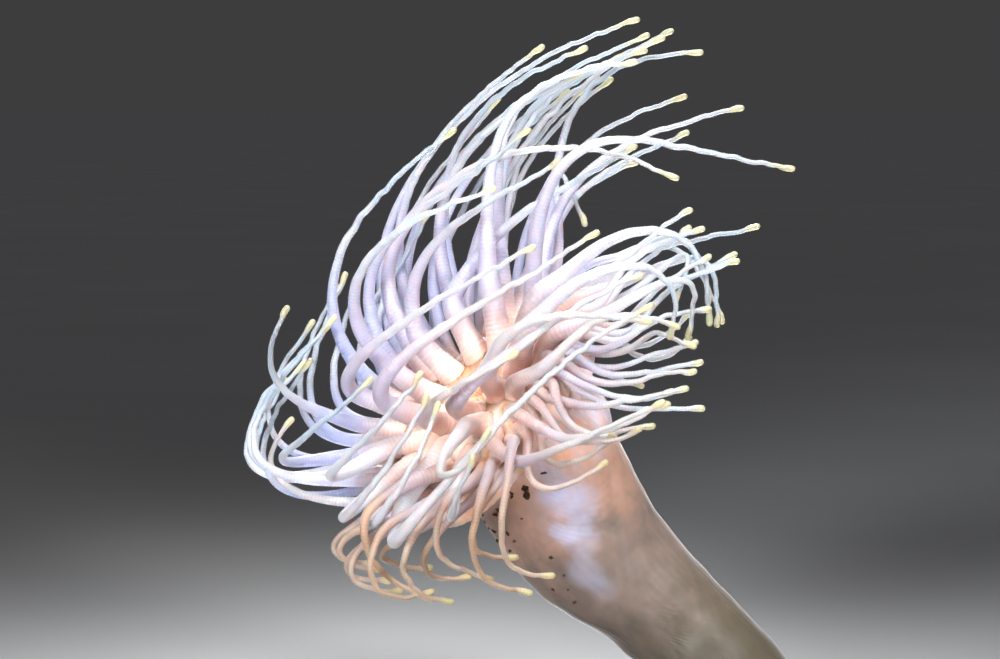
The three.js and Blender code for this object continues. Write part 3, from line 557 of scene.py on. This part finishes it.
# the throat and lips in section, as radius and height; the mouth is an oval that widens to a circle
LIPS = np.array([[0.6, -9.6], [2.2, -9.3], [3.0, -7.6], [3.5, -5.2], [4.6, -3.0], [6.4, -2.3], [7.9, -3.0],
                 [8.7, -4.0], [9.5, -3.2]])
LIP_OVAL, OVAL_SPAN = 0.66, (5, 9.5)
DISC_START, DISC_END = 10.2, 52.0
# the rim in section, as radius and drop
RIM = np.array([[52.0, 0.0], [53.9, 0.5], [53.7, 5.0], [50.5, 6.2]])
# the collar leaves the rim inwards and down, and meets the column at this station
COLLAR_END, COLLAR_INWARD, COLLAR_DOWN, COLLAR_PULL, COLLAR_PROBE = 1.6, 0.75, 0.65, 0.9, 0.1
LIP_ROWS, DISC_ROWS, RIM_ROWS, COLLAR_ROWS, COLUMN_ROWS, COLUMN_PROBES = 34, 82, 15, 62, 185, 500
SOLE_SHARES = (0.985, 0.9, 0.6, 0.25)


def curve_through(points, count, steps=24):
    """Points evenly spaced on a Catmull-Rom curve through the given ones."""
    padded = np.vstack([2 * points[0] - points[1], points, 2 * points[-1] - points[-2]])
    out = []
    for k in range(len(points) - 1):
        u = np.linspace(0, 1, steps, endpoint=k == len(points) - 2)[:, None]
        out.append(catmull(*padded[k:k + 4], u))
    out = np.vstack(out)
    along = length_along(out)
    return sampled(np.linspace(0, along[-1], count), along, out)


def body_rows():
    """Rows of points round the body, and for each row its zone and its place in that zone."""
    rows, zones, places = [], [], []

    def put(ring, zone, place):
        rows.append(ring)
        zones.append(zone)
        places.append(place)

    for r, height in curve_through(LIPS, LIP_ROWS):
        oval = mix(LIP_OVAL, 1, smooth(*OVAL_SPAN, r))
        across = outer_sum(r * np.cos(ANGLES), RIGHT, r * oval * np.sin(ANGLES), AWAY)
        put(DISC_CENTRE + across + NORMAL * height, "lips", r)
    for r in np.linspace(DISC_START, DISC_END, DISC_ROWS):
        put(disc_point(r, ANGLES), "disc", r)
    for u in np.linspace(0, 1, RIM_ROWS)[1:]:
        r, drop = bezier(*RIM, u)
        put(disc_point(r, ANGLES) - NORMAL * drop, "rim", r)
    lip = rows[-1]
    outward = unit(disc_point(RIM[3, 0] + 1, ANGLES) - disc_point(RIM[3, 0], ANGLES))
    waist = column_ring(COLLAR_END, ANGLES)
    gap = np.linalg.norm(waist - lip, axis=1)[:, None]
    leaving = -unit(outward * COLLAR_INWARD + NORMAL * COLLAR_DOWN) * gap * COLLAR_PULL
    arriving = unit(column_ring(COLLAR_END + COLLAR_PROBE, ANGLES) - waist) * gap * COLLAR_PULL
    for u in np.linspace(0, 1, COLLAR_ROWS)[1:]:
        ring = (lip * (2 * u ** 3 - 3 * u * u + 1) + leaving * (u ** 3 - 2 * u * u + u)
                + waist * (3 * u * u - 2 * u ** 3) + arriving * (u ** 3 - u * u))
        put(ring, "collar", u)
    stations = np.linspace(COLLAR_END, LAST_STATION, COLUMN_PROBES)
    along = length_along(np.array([column_at(t)[0] for t in stations]))
    for t in np.interp(np.linspace(0, along[-1], COLUMN_ROWS)[1:], along, stations):
        put(column_ring(t, ANGLES), "column", t)
    sole = rows[-1].copy()
    middle = sole.mean(0)
    for share in SOLE_SHARES:
        put(middle + (sole - middle) * share, "sole", share)
    return np.array(rows), np.array(zones), np.array(places)


def grid_normals(rows):
    down = np.gradient(rows, axis=0)
    turn = np.roll(rows, -1, 1) - np.roll(rows, 1, 1)
    return unit(np.cross(down, turn) + 1e-12)


WAVES_PER_OCTAVE, WAVE_SIZES, PHASES, NOISE_RANGE = 7, (0.7, 1.4), (0, 6.28), 4.5


def soft_noise(rng, points, size, octaves=3):
    """Smooth noise in about -1..1 at points in space, from random waves of about the given size."""
    out = np.zeros(points.shape[:-1])
    for octave in range(octaves):
        for _ in range(WAVES_PER_OCTAVE):
            wave = unit(rng.normal(size=3)) * (2 * math.pi / size * 2 ** octave * rng.uniform(*WAVE_SIZES))
            out += np.sin(points @ wave + rng.uniform(*PHASES)) * 0.5 ** octave
    return out / NOISE_RANGE


# relief of the body: sizes in millimetres; spans are radii on lips and disc, shares of the collar, stations
ROOT_RISE, ROOT_SPREAD, ROOT_MARGIN = 1.3, 2.6, 1.06
LIP_PLEATS, LIP_PLEAT_HEIGHT, PLEATS_IN, PLEATS_OUT = 19, 0.32, (2.4, 5), (9.5, 7.5)
DISC_FURROWS, DISC_FURROW_HEIGHT, FURROWS_IN = 40, 0.14, (10, 16)
GRAIN_SIZE, GRAIN_HEIGHT = 6.0, 0.16
COLLAR_RIBS, COLLAR_RIB_HEIGHT, RIB_SHARPNESS, RIM_RIBS, RIBS_OUT = 80, 0.26, 1.6, 0.6, (1.05, 0.5)
WANDER_SIZE, WANDER = 22.0, 0.02
BELOW_RIM, ABOVE_SOLE = (0.2, 1), (8.0, 7.3)
COLUMN_LINES, COLUMN_LINE_HEIGHT, LINE_PATCH_SIZE, LINE_PATCH = 44, 0.05, 26.0, (-0.6, 0.9)
LUMP_SIZE, LUMP_HEIGHT = 34.0, 0.7
WRINKLE_STEP, WRINKLE_HEIGHT, WRINKLE_SIZE, WRINKLE_WANDER = 2.7, 0.16, 13.0, 2.6
WRINKLE_PATCH_SIZE, WRINKLE_PATCH, UPPER_WRINKLES, FOOT_WRINKLES = 30.0, (-0.1, 0.7), 0.35, (5.2, 7.2)


def root_gap(points):
    """Distance from each point to the nearest tentacle root's edge."""
    gap = np.full(points.shape[:-1], 1e9)
    for tentacle in TENTACLES:
        far = np.linalg.norm(points - tentacle["base"], axis=-1)
        gap = np.minimum(gap, far - tentacle["root"] * ROOT_MARGIN)
    return gap


def body_relief(rows, zones, places, gap, rng):
    """How far each point of the body stands out from its smooth form."""
    zone = {name: (zones == name)[:, None] for name in ("lips", "disc", "rim", "collar", "column")}
    place = places[:, None]
    pleats = np.cos(LIP_PLEATS * ANGLES) * smooth(*PLEATS_IN, place) * smooth(*PLEATS_OUT, place)
    relief = zone["lips"] * LIP_PLEAT_HEIGHT * pleats
    furrows = np.cos(DISC_FURROWS * ANGLES) * smooth(*FURROWS_IN, place)
    relief = relief + zone["disc"] * DISC_FURROW_HEIGHT * furrows
    relief += (zone["disc"] | zone["rim"]) * ROOT_RISE * smooth(ROOT_SPREAD, 0, gap)
    relief += (zone["disc"] | zone["lips"]) * GRAIN_HEIGHT * soft_noise(rng, rows, GRAIN_SIZE)
    wander = ANGLES[None] + WANDER * soft_noise(rng, rows, WANDER_SIZE, 1)
    ribs = COLLAR_RIB_HEIGHT * (np.abs(np.cos(COLLAR_RIBS / 2 * wander)) * RIB_SHARPNESS - 1)
    relief += ribs * (zone["rim"] * RIM_RIBS + zone["collar"] * smooth(*RIBS_OUT, place))
    down = zone["collar"] * smooth(*BELOW_RIM, place) + zone["column"] * smooth(*ABOVE_SOLE, place)
    fading = smooth(*LINE_PATCH, soft_noise(rng, rows, LINE_PATCH_SIZE, 1))
    relief += down * COLUMN_LINE_HEIGHT * fading * np.cos(COLUMN_LINES * wander)
    relief += down * LUMP_HEIGHT * soft_noise(rng, rows, LUMP_SIZE, 2)
    depth = np.cumsum(np.linalg.norm(np.diff(rows, axis=0, prepend=rows[:1]), axis=2), axis=0)
    creased = smooth(*WRINKLE_PATCH, soft_noise(rng, rows, WRINKLE_PATCH_SIZE, 1))
    creased = creased * (UPPER_WRINKLES + smooth(*FOOT_WRINKLES, place) * zone["column"])
    bent = WRINKLE_WANDER * soft_noise(rng, rows, WRINKLE_SIZE, 1)
    wrinkles = np.sin(depth * (2 * math.pi / WRINKLE_STEP) + bent)
    return relief + down * WRINKLE_HEIGHT * creased * wrinkles


# ---- body colours: orange throat, peach disc, peach to lilac collar, column darkening to grey-brown below, partly its own tone and partly painted shade
THROAT = colour("bd8260")
LIP_ORANGE = colour("cd9676")
DISC_PEACH = colour("d5a388")
DISC_PALE = colour("edd5ca")
CREVICE = colour("cf8950")
COLLAR_PEACH = colour("f3bf9e")
COLLAR_LILAC = colour("e2d3df")
# column tones: partly the column's own peach to grey-brown, partly painted shade that deepens towards the
# foot
COLUMN_UP_AND_SHADE = colour("b99380")
COLUMN_MIDDLE_AND_SHADE = colour("7b6b62")
COLUMN_LOW_AND_SHADE = colour("5b5345")
CAUSTIC_LIGHT_BLUE = colour("c2c7e4")
# pale blue patches of painted caustic light on the column: station, degrees, half height in stations, half
# width in degrees, share
CAUSTIC_LIGHT_PATCHES = [
    (2.30, -88, 0.60, 24, 0.15), (2.04, -93, 0.17, 12, 0.6), (2.22, -86, 0.22, 14, 0.5),
    (2.42, -78, 0.22, 14, 0.35), (2.58, -103, 0.10, 6, 0.5), (2.70, -98, 0.12, 8, 0.5),
    (2.70, -89, 0.17, 11, 0.3), (2.92, -91, 0.20, 12, 0.25), (3.23, -106, 0.21, 12, 0.25),
    (3.45, -108, 0.16, 10, 0.15),
]


# the fourth sets the painted shade in sunken relief and painted light on raised relief, the fifth its limit
MOTTLE_SIZE, FINE_SIZE, FINE_LIGHT, RELIEF_PAINTED_LIGHT_AND_SHADE, RELIEF_LIMIT = 16.0, 4.0, 0.04, 0.06, 0.5
# spans over which colours come in: radii on the lips and disc, millimetres from a root, column stations
ORANGE_SPAN, PEACH_SPAN, PALE_SPAN, CREVICE_SPAN = (2.4, 6.0), (9, 15), (14, 34), (2.4, 0.3)
UP_SPAN, MIDDLE_SPAN, LOW_SPAN = (1.6, 2.2), (2.0, 3.4), (3.2, 5.0)
# how the mottle shifts them, and how rough and soft the painted caustic light patches are
CREVICE_MOTTLE, COLLAR_MOTTLE, COLLAR_TURN = (-0.7, 0.5), (-0.9, 1.1), 0.5
PALE_BASE, PALE_MOTTLE, MIDDLE_MOTTLE, LOW_MOTTLE = 0.65, 0.35, 0.3, 0.4
PATCH_ROUGHNESS, PATCH_FADE = 0.2, (2.0, 0.0)


def body_tint(rows, zones, places, gap, relief, rng):
    """The palette blended over the body, with painted caustic light on the column and painted shade."""
    place = places[:, None]
    mottle = soft_noise(rng, rows, MOTTLE_SIZE)
    fine = soft_noise(rng, rows, FINE_SIZE)
    lips = mix(THROAT, LIP_ORANGE, smooth(*ORANGE_SPAN, place)[..., None])
    disc = mix(LIP_ORANGE, DISC_PEACH, smooth(*PEACH_SPAN, place)[..., None])
    disc = mix(disc, DISC_PALE, (smooth(*PALE_SPAN, place) * (PALE_BASE + PALE_MOTTLE * mottle))[..., None])
    disc = mix(disc, CREVICE, (smooth(*CREVICE_SPAN, gap) * smooth(*CREVICE_MOTTLE, mottle))[..., None])
    turned = mottle + COLLAR_TURN * np.cos(ANGLES)
    collar = mix(COLLAR_PEACH, COLLAR_LILAC, smooth(*COLLAR_MOTTLE, turned)[..., None])
    # the column darkens downwards, partly its own grey-brown and partly painted shade
    upper = mix(collar, COLUMN_UP_AND_SHADE, smooth(*UP_SPAN, place)[..., None])
    column = mix(upper, COLUMN_MIDDLE_AND_SHADE, smooth(*MIDDLE_SPAN, place + MIDDLE_MOTTLE * mottle)[..., None])
    column = mix(column, COLUMN_LOW_AND_SHADE, smooth(*LOW_SPAN, place + LOW_MOTTLE * mottle)[..., None])
    # paints pale blue caustic light onto the column
    for station, degrees, high, wide, share in CAUSTIC_LIGHT_PATCHES:
        off = (np.degrees(ANGLES) - degrees + 180) % 360 - 180
        edge = ((place - station) / high) ** 2 + (off / wide) ** 2 + PATCH_ROUGHNESS * fine
        column = mix(column, CAUSTIC_LIGHT_BLUE, (share * smooth(*PATCH_FADE, edge))[..., None])
    picked = {"lips": lips, "disc": disc, "rim": mix(disc, collar, 0.5), "collar": collar, "column": column,
              "sole": np.broadcast_to(COLUMN_LOW_AND_SHADE, column.shape)}
    tint = np.select([(zones == name)[:, None, None] for name in picked],
                     [np.broadcast_to(grid, column.shape) for grid in picked.values()])
    # painted shade in the hollows of the relief and painted light on its ridges, except on the disc
    relief_shade = np.clip(relief, -RELIEF_LIMIT, RELIEF_LIMIT) * (zones != "disc")[:, None]
    return tint * (1 + FINE_LIGHT * fine + RELIEF_PAINTED_LIGHT_AND_SHADE * relief_shade)[..., None]


def body_skin(rng):
    rows, zones, places = body_rows()
    gap = root_gap(rows)
    relief = body_relief(rows, zones, places, gap, rng)
    tint = body_tint(rows, zones, places, gap, relief, rng)
    rings = rows + grid_normals(rows) * relief[..., None]
    depth = np.cumsum(np.linalg.norm(np.diff(rows, axis=0, prepend=rows[:1]), axis=2).mean(1))
    around = ANGLES * np.linalg.norm(rows - rows.mean(1, keepdims=True), axis=2).mean(1)[:, None]
    flow = np.stack([around, np.broadcast_to(depth[:, None], around.shape)], 2)
    return {"rings": rings, "poles": (rings[0].mean(0), rings[-1].mean(0)), "tint": tint, "flow": flow}


# ---- meshes from stacks of rings
def add_to_scene(name, data):
    thing = bpy.data.objects.new(name, data)
    bpy.context.scene.collection.objects.link(thing)
    return thing


class Stack:
    """Gathers closed stacks of rings, each between two poles, into one mesh."""

    def __init__(self):
        self.points, self.tints, self.flows = [], [], []
        self.quads, self.fans, self.quad_uvs, self.fan_uvs = [], [], [], []
        self.count = 0

    def add(self, skin, tile):
        """Adds a skin, with its UVs in a tile given as left, low, right, high."""
        rings, (first, last) = skin["rings"], skin["poles"]
        high, wide = rings.shape[:2]
        shade = skin["tint"].reshape(high, -1, 3)
        clear = np.broadcast_to(np.reshape(skin.get("clear", 0.0), (-1, 1, 1)), shade[..., :1].shape)
        tint = np.broadcast_to(np.concatenate([shade, clear], 2), (high, wide, 4))
        index = self.count + np.arange(high * wide).reshape(high, wide)
        after = np.roll(index, -1, 1)
        quads = np.stack([index[:-1], after[:-1], after[1:], index[1:]], 2)
        u0, v0, u1, v1 = tile
        v, u = np.meshgrid(np.linspace(v0, v1, high), np.linspace(u0, u1, wide + 1), indexing="ij")
        uv = np.stack([u, v], 2)
        corners = np.stack([uv[:-1, :-1], uv[:-1, 1:], uv[1:, 1:], uv[1:, :-1]], 2)
        poles = self.count + high * wide
        for pole, ring, line in ((poles, 0, uv[0]), (poles + 1, high - 1, uv[-1])):
            fan = np.stack([np.full(wide, pole), index[ring], after[ring]], 1)
            middle = (line[:-1] + line[1:]) / 2
            fan_uv = np.stack([middle, line[:-1], line[1:]], 1)
            flip = -1 if ring == 0 else 1
            self.fans.append(fan[:, ::flip])
            self.fan_uvs.append(fan_uv[:, ::flip])
        self.points += [rings.reshape(-1, 3), [first, last]]
        self.tints += [tint.reshape(-1, 4), tint[[0, -1], 0]]
        self.flows += [skin["flow"].reshape(-1, 2), skin["flow"][[0, -1], 0]]
        self.quads.append(quads.reshape(-1, 4))
        self.quad_uvs.append(corners.reshape(-1, 4, 2))
        self.count = poles + 2

    def build(self, name, material):
        """Makes the Blender object, in metres."""
        quads, fans = np.vstack(self.quads), np.vstack(self.fans)
        mesh = bpy.data.meshes.new(name)
        mesh.vertices.add(self.count)
        mesh.vertices.foreach_set("co", (np.vstack(self.points) / 1000).astype(np.float32).ravel())
        corners = np.concatenate([quads.ravel(), fans.ravel()])
        mesh.loops.add(len(corners))
        mesh.loops.foreach_set("vertex_index", corners.astype(np.int32))
        sizes = np.concatenate([np.full(len(quads), 4), np.full(len(fans), 3)])
        mesh.polygons.add(len(sizes))
        mesh.polygons.foreach_set("loop_start", (np.cumsum(sizes) - sizes).astype(np.int32))
        mesh.polygons.foreach_set("use_smooth", np.ones(len(sizes), bool))
        mesh.update(calc_edges=True)
        tint = np.clip(np.vstack(self.tints), 0, 1)
        flow = np.hstack([np.vstack(self.flows), np.zeros((self.count, 1))]) / 1000
        for label, kind, field, values in (("tint", "FLOAT_COLOR", "color", tint),
                                           ("flow", "FLOAT_VECTOR", "vector", flow)):
            data = mesh.attributes.new(label, kind, "POINT").data
            data.foreach_set(field, values.astype(np.float32).ravel())
        uv = np.vstack([np.vstack(uvs).reshape(-1, 2) for uvs in (self.quad_uvs, self.fan_uvs)])
        mesh.uv_layers.new(name="OFBake").uv.foreach_set("vector", uv.astype(np.float32).ravel())
        mesh.materials.append(material)
        return add_to_scene(name, mesh)


# ---- materials
class Nodes:
    """The nodes of a material or world, with short ways to add and feed them."""

    def __init__(self, owner):
        owner.use_nodes = True
        self.owner, self.nodes, self.links = owner, owner.node_tree.nodes, owner.node_tree.links

    def feed(self, node, inputs):
        for key, value in inputs.items():
            if isinstance(value, bpy.types.NodeSocket):
                self.links.new(value, node.inputs[key])
            else:
                node.inputs[key].default_value = value

    def finish(self, shader, inputs):
        """Feeds the shader that is there from the start, and gives back the material or world."""
        self.feed(self.nodes[shader], inputs)
        return self.owner

    def node(self, kind, inputs=None, **settings):
        """A new node; an input is a value or another node's output."""
        node = self.nodes.new(kind)
        for key, value in settings.items():
            setattr(node, key, value)
        self.feed(node, inputs or {})
        return node

    def place(self, kind="Object"):
        return self.node("ShaderNodeTexCoord").outputs[kind]

    def attribute(self, name):
        return self.node("ShaderNodeAttribute", attribute_name=name).outputs

    def stretched(self, vector, scale):
        return self.node("ShaderNodeMapping", {"Vector": vector, "Scale": scale}).outputs["Vector"]

    def noise(self, vector, scale, detail):
        inputs = {"Vector": vector, "Scale": scale, "Detail": detail}
        return self.node("ShaderNodeTexNoise", inputs).outputs["Fac"]

    def ranged(self, value, low, high, start=0.3, stop=0.7):
        spans = {"Value": value, "From Min": start, "From Max": stop, "To Min": low, "To Max": high}
        return self.node("ShaderNodeMapRange", spans).outputs["Result"]

    def bump(self, height, strength, distance):
        inputs = {"Height": height, "Strength": strength, "Distance": distance}
        return self.node("ShaderNodeBump", inputs).outputs["Normal"]

    def ramp(self, value, *stops):
        """Colours at two positions, as (position, (red, green, blue))."""
        node = self.node("ShaderNodeValToRGB", {"Fac": value})
        for element, (position, tone) in zip(node.color_ramp.elements, stops):
            element.position, element.color = position, (*tone, 1)
        return node.outputs["Color"]


def skin_material():
    """Moist, translucent flesh: tint from the mesh, mottled, with fine nap along the folds."""
    flesh = Nodes(bpy.data.materials.new("anemone_flesh"))
    tint, place = flesh.attribute("tint"), flesh.place()
    mottle = flesh.ranged(flesh.noise(place, scale=160, detail=3), low=0.93, high=1.06)
    tinted = flesh.node("ShaderNodeVectorMath", {0: tint["Color"], "Scale": mottle}, operation="SCALE")
    lengthwise = flesh.stretched(flesh.attribute("flow")["Vector"], (1.0, 2.6, 1.0))
    return flesh.finish("Principled BSDF", {
        "Base Color": tinted.outputs["Vector"],
        "Normal": flesh.bump(flesh.noise(lengthwise, scale=1100, detail=2), strength=0.5, distance=0.00012),
        "Roughness": flesh.ranged(flesh.noise(place, scale=90, detail=2), low=0.38, high=0.52),
        "Subsurface Weight": 0.8, "Subsurface Radius": (1.0, 0.62, 0.5), "Subsurface Scale": 0.004,
        "Specular IOR Level": 0.4,
        "Transmission Weight": flesh.ranged(tint["Alpha"], low=0.0, high=0.6, start=0.0, stop=1.0),
        "Sheen Weight": 1.0, "Sheen Roughness": 0.22})


def stand_material():
    """Satin dark lacquer with a faint brushed grain."""
    lacquer = Nodes(bpy.data.materials.new("stand_lacquer"))
    place = lacquer.place()
    streak = lacquer.noise(lacquer.stretched(place, (1.0, 14.0, 14.0)), scale=60, detail=5)
    return lacquer.finish("Principled BSDF", {
        "Base Color": lacquer.ramp(streak, (0.3, colour("26292c")), (0.75, colour("34383c"))),
        "Roughness": lacquer.ranged(lacquer.noise(place, scale=40, detail=4), low=0.32, high=0.5),
        "Normal": lacquer.bump(streak, strength=0.3, distance=0.0001),
        "Coat Weight": 0.25, "Coat Roughness": 0.25})


def debris_material():
    """Matt brown grit, tinted from the mesh."""
    grit = Nodes(bpy.data.materials.new("column_debris"))
    rough = grit.ranged(grit.noise(grit.place(), scale=900, detail=3), low=0.6, high=0.95)
    return grit.finish("Principled BSDF", {"Base Color": grit.attribute("tint")["Color"], "Roughness": rough})


def floor_material():
    floor = Nodes(bpy.data.materials.new("studio_floor"))
    tone = floor.ranged(floor.noise(floor.place(), scale=3, detail=2), *FLOOR_TONES)
    grey = floor.node("ShaderNodeCombineColor", {"Red": tone, "Green": tone, "Blue": tone})
    return floor.finish("Principled BSDF", {"Base Color": grey.outputs["Color"], "Roughness": 0.8})


# ---- build the skin: its UVs hold the tentacles in two columns of tiles, and the body right of the split
TILE_COLUMNS, TILE_SPLIT, TILE_MARGIN = 2, 0.62, 0.0025
BODY_TILE = (TILE_SPLIT + 0.02, 0.01, 0.99, 0.99)
rng = np.random.default_rng(SEED)
skin = Stack()
skin.add(body_skin(rng), BODY_TILE)
per_column = math.ceil(len(TENTACLES) / TILE_COLUMNS)
tile_width = TILE_SPLIT / TILE_COLUMNS - 2 * TILE_MARGIN
tile_height = 1 / per_column - 2 * TILE_MARGIN
for number, tentacle in enumerate(TENTACLES):
    tile_column, tile_row = divmod(number, per_column)
    left = tile_column * TILE_SPLIT / TILE_COLUMNS + TILE_MARGIN
    low = tile_row / per_column + TILE_MARGIN
    skin.add(tentacle_skin(tentacle, rng), (left, low, left + tile_width, low + tile_height))
anemone = skin.build("anemone_skin", skin_material())
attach(anemone, "root")
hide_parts(*FLESH)

# ---- dark grains of debris that cling to the column: station, degrees round, length, width, turn, bend
FLECKS = [
    (1.77, -127.5, 5.6, 1.0, 5, 80), (1.86, -122, 4.2, 1.1, 95, 60), (1.89, -111, 7.0, 2.6, 95, 10),
    (1.84, -109.5, 2.6, 1.4, 60, 0), (1.69, -94.5, 2.8, 1.4, 10, 10), (2.06, -138.8, 3.4, 1.9, 40, 30),
    (2.11, -145, 3.6, 1.0, 5, -30), (2.12, -163, 2.4, 1.6, 30, 0), (2.25, -168, 3.6, 2.4, 70, 20),
    (2.36, -159, 4.4, 1.8, 12, -20), (2.33, -166, 2.2, 1.5, 50, 0), (2.50, -163, 2.6, 1.5, 40, 0),
    (2.40, -142.5, 2.2, 1.4, 90, 0), (2.51, -139.5, 1.8, 1.0, 20, 0), (2.85, -118, 2.2, 1.3, 40, 0),
    (2.62, -152, 1.4, 0.8, 0, 0), (3.10, -120, 1.2, 0.8, 60, 0), (3.37, -136, 2.4, 1.0, 10, 0),
    (3.24, -128, 1.3, 0.8, 30, 0), (3.15, -140, 1.8, 0.9, 80, 0), (2.25, -123, 1.3, 0.8, 20, 0),
]
FLECK_THICKNESS, FLECK_LIFT, FLECK_STEPS, FLECK_SIDES = 0.42, 0.1, 14, 10
FLECK_ENDS, GIRTH_NOISE, GIRTH_STEP, EDGE_NOISE = (0.06, 0.94), 0.55, 1.8, 0.4
BROWN_MEAN, BROWN_NOISE, BROWN_STEP = 0.35, 0.4, 3
FLECK_DARK, FLECK_BROWN = colour("2e1f12"), colour("6b4527")


def fleck_skin(fleck, rng, probe=0.02):
    """A small rough grain that lies along the column's surface."""
    station, degrees, length, width, turn, bend = fleck
    angle = math.radians(degrees)
    here, below, beside = (column_ring(station + ds, np.array([angle + da]))[0]
                           for ds, da in ((0, 0), (probe, 0), (0, probe)))
    down, around = unit(below - here), unit(beside - here)
    normal = unit(np.cross(down, around))
    radius = column_at(station)[0, 3]
    s = np.linspace(0, 1, FLECK_STEPS)
    heading = math.radians(turn) + math.radians(bend) * (s - 0.5) * 2
    step = length / FLECK_STEPS
    x = np.cumsum(np.cos(heading)) * step
    y = np.cumsum(np.sin(heading)) * step
    x, y = x - x.mean(), y - y.mean()
    girth = np.sqrt(np.sin(math.pi * np.clip(s, *FLECK_ENDS)))
    girth = girth * (1 + GIRTH_NOISE * noise_row(rng, FLECK_STEPS, GIRTH_STEP))
    sunk = x * x / (2 * radius) - FLECK_LIFT
    lie = here + np.outer(x, around) + np.outer(y, down) - np.outer(sunk, normal)
    cross = np.outer(-np.sin(heading), around) + np.outer(np.cos(heading), down)
    turns = np.arange(FLECK_SIDES) * (2 * math.pi / FLECK_SIDES)
    rough = 1 + EDGE_NOISE * rng.uniform(-1, 1, (FLECK_STEPS, FLECK_SIDES))
    wide = (0.5 * width * girth)[:, None] * np.cos(turns) * rough
    high = (FLECK_THICKNESS * girth)[:, None] * np.sin(turns) * rough
    rings = lie[:, None] + wide[..., None] * cross[:, None] + high[..., None] * normal
    brown = np.clip(BROWN_MEAN + BROWN_NOISE * noise_row(rng, FLECK_STEPS, BROWN_STEP)[:, None], 0, 1)
    return {"rings": rings, "poles": (lie[0], lie[-1]), "tint": mix(FLECK_DARK, FLECK_BROWN, brown),
            "flow": np.zeros((FLECK_STEPS, FLECK_SIDES, 2))}


FLECK_TILE = np.array([0.02, 0.004, 0.98, 0.05])
debris = Stack()
for number, fleck in enumerate(FLECKS):
    low = number / len(FLECKS)
    debris.add(fleck_skin(fleck, rng), FLECK_TILE + (0, low, 0, low))
flecks = debris.build("column_flecks", debris_material())
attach(flecks, "root")

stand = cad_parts["stand_base"]
stand.data.materials.clear()
stand.data.materials.append(stand_material())


# ---- stage: floor, soft light, camera; sizes in metres
FLOOR_RADIUS, FLOOR_RINGS, FLOOR_SIDES, FLOOR_POWER = 80.0, 40, 128, 4
FLOOR_TONES = (0.36, 0.39)
# the surround at eye level, where it meets the far floor's tone, and overhead: height, tone, blueness
SKY = ((0.12, 0.0468, 1.04), (0.75, 0.13, 1.05))


def make_floor():
    """A disc whose rings are finest at the middle."""
    mesh = bpy.data.meshes.new("studio_floor")
    angles = np.arange(FLOOR_SIDES) * 2 * math.pi / FLOOR_SIDES
    points = [(0, 0, 0)]
    for k in range(1, FLOOR_RINGS + 1):
        reach = FLOOR_RADIUS * (k / FLOOR_RINGS) ** FLOOR_POWER
        points += [(reach * math.cos(a), reach * math.sin(a), 0) for a in angles]
    faces = [(0, 1 + i, 1 + (i + 1) % FLOOR_SIDES) for i in range(FLOOR_SIDES)]
    for start in range(1, 1 + (FLOOR_RINGS - 1) * FLOOR_SIDES, FLOOR_SIDES):
        for i in range(FLOOR_SIDES):
            a, b = start + i, start + (i + 1) % FLOOR_SIDES
            faces.append((a, a + FLOOR_SIDES, b + FLOOR_SIDES, b))
    mesh.from_pydata(points, [], faces)
    mesh.materials.append(floor_material())
    thing = add_to_scene("studio_floor", mesh)


def make_world():
    """A soft studio surround: grey at eye level, brighter overhead."""
    sky = Nodes(bpy.data.worlds.new("studio_surround"))
    up = sky.node("ShaderNodeSeparateXYZ", {"Vector": sky.place("Generated")}).outputs["Z"]
    tones = ((at, (tone, tone, tone * blueness)) for at, tone, blueness in SKY)
    bpy.context.scene.world = sky.finish("Background", {"Color": sky.ramp(up, *tones)})


CROWN = (-0.05, 0.0, 0.19)
# soft boxes: name, place, target, size, power in watts, colour, spread in degrees
LIGHTS = [
    ("key_softbox", (0.12, -0.42, 1.12), CROWN, 0.32, 1.0, (0.98, 0.985, 1.0), 42),
    ("fill_softbox", (-0.5, -0.9, 0.4), (-0.11, -0.03, 0.18), 0.5, 1.0, (0.93, 0.96, 1.0), 26),
    ("side_softbox", (0.45, -0.85, 0.55), (-0.03, -0.03, 0.19), 0.25, 0.2, (1.0, 0.97, 0.95), 22),
    ("back_softbox", (-0.15, 0.75, 0.75), CROWN, 0.5, 1.05, (0.95, 0.97, 1.0), 34),
]


def make_light(name, place, target, size, power, tone, spread):
    lamp = bpy.data.lights.new(name, "AREA")
    lamp.shape, lamp.size, lamp.energy, lamp.color = "DISK", size, power, tone
    lamp.spread = math.radians(spread)
    thing = add_to_scene(name, lamp)
    ahead = np.array(target, float) - np.array(place, float)
    thing.location = place
    thing.rotation_euler = (math.atan2(math.hypot(ahead[0], ahead[1]), -ahead[2]), 0,
                            math.atan2(ahead[1], ahead[0]) - math.pi / 2)


CAMERA_FOCUS = (-0.056, 0.0, 0.1682)
CAMERA_DISTANCE, CAMERA_PITCH, CAMERA_LENS, SENSOR = 1.3, 4.0, 117.0, 36.0


def make_camera():
    lens = bpy.data.cameras.new("photo_view")
    lens.lens, lens.sensor_width = CAMERA_LENS, SENSOR
    thing = add_to_scene("photo_view", lens)
    pitch = math.radians(CAMERA_PITCH)
    x, y, z = CAMERA_FOCUS
    thing.location = (x, y - CAMERA_DISTANCE * math.cos(pitch), z + CAMERA_DISTANCE * math.sin(pitch))
    thing.rotation_euler = (math.pi / 2 - pitch, 0, 0)
    bpy.context.scene.camera = thing


make_floor()
make_world()
for light in LIGHTS:
    make_light(*light)
make_camera()
bpy.context.scene.view_settings.view_transform = "Standard"
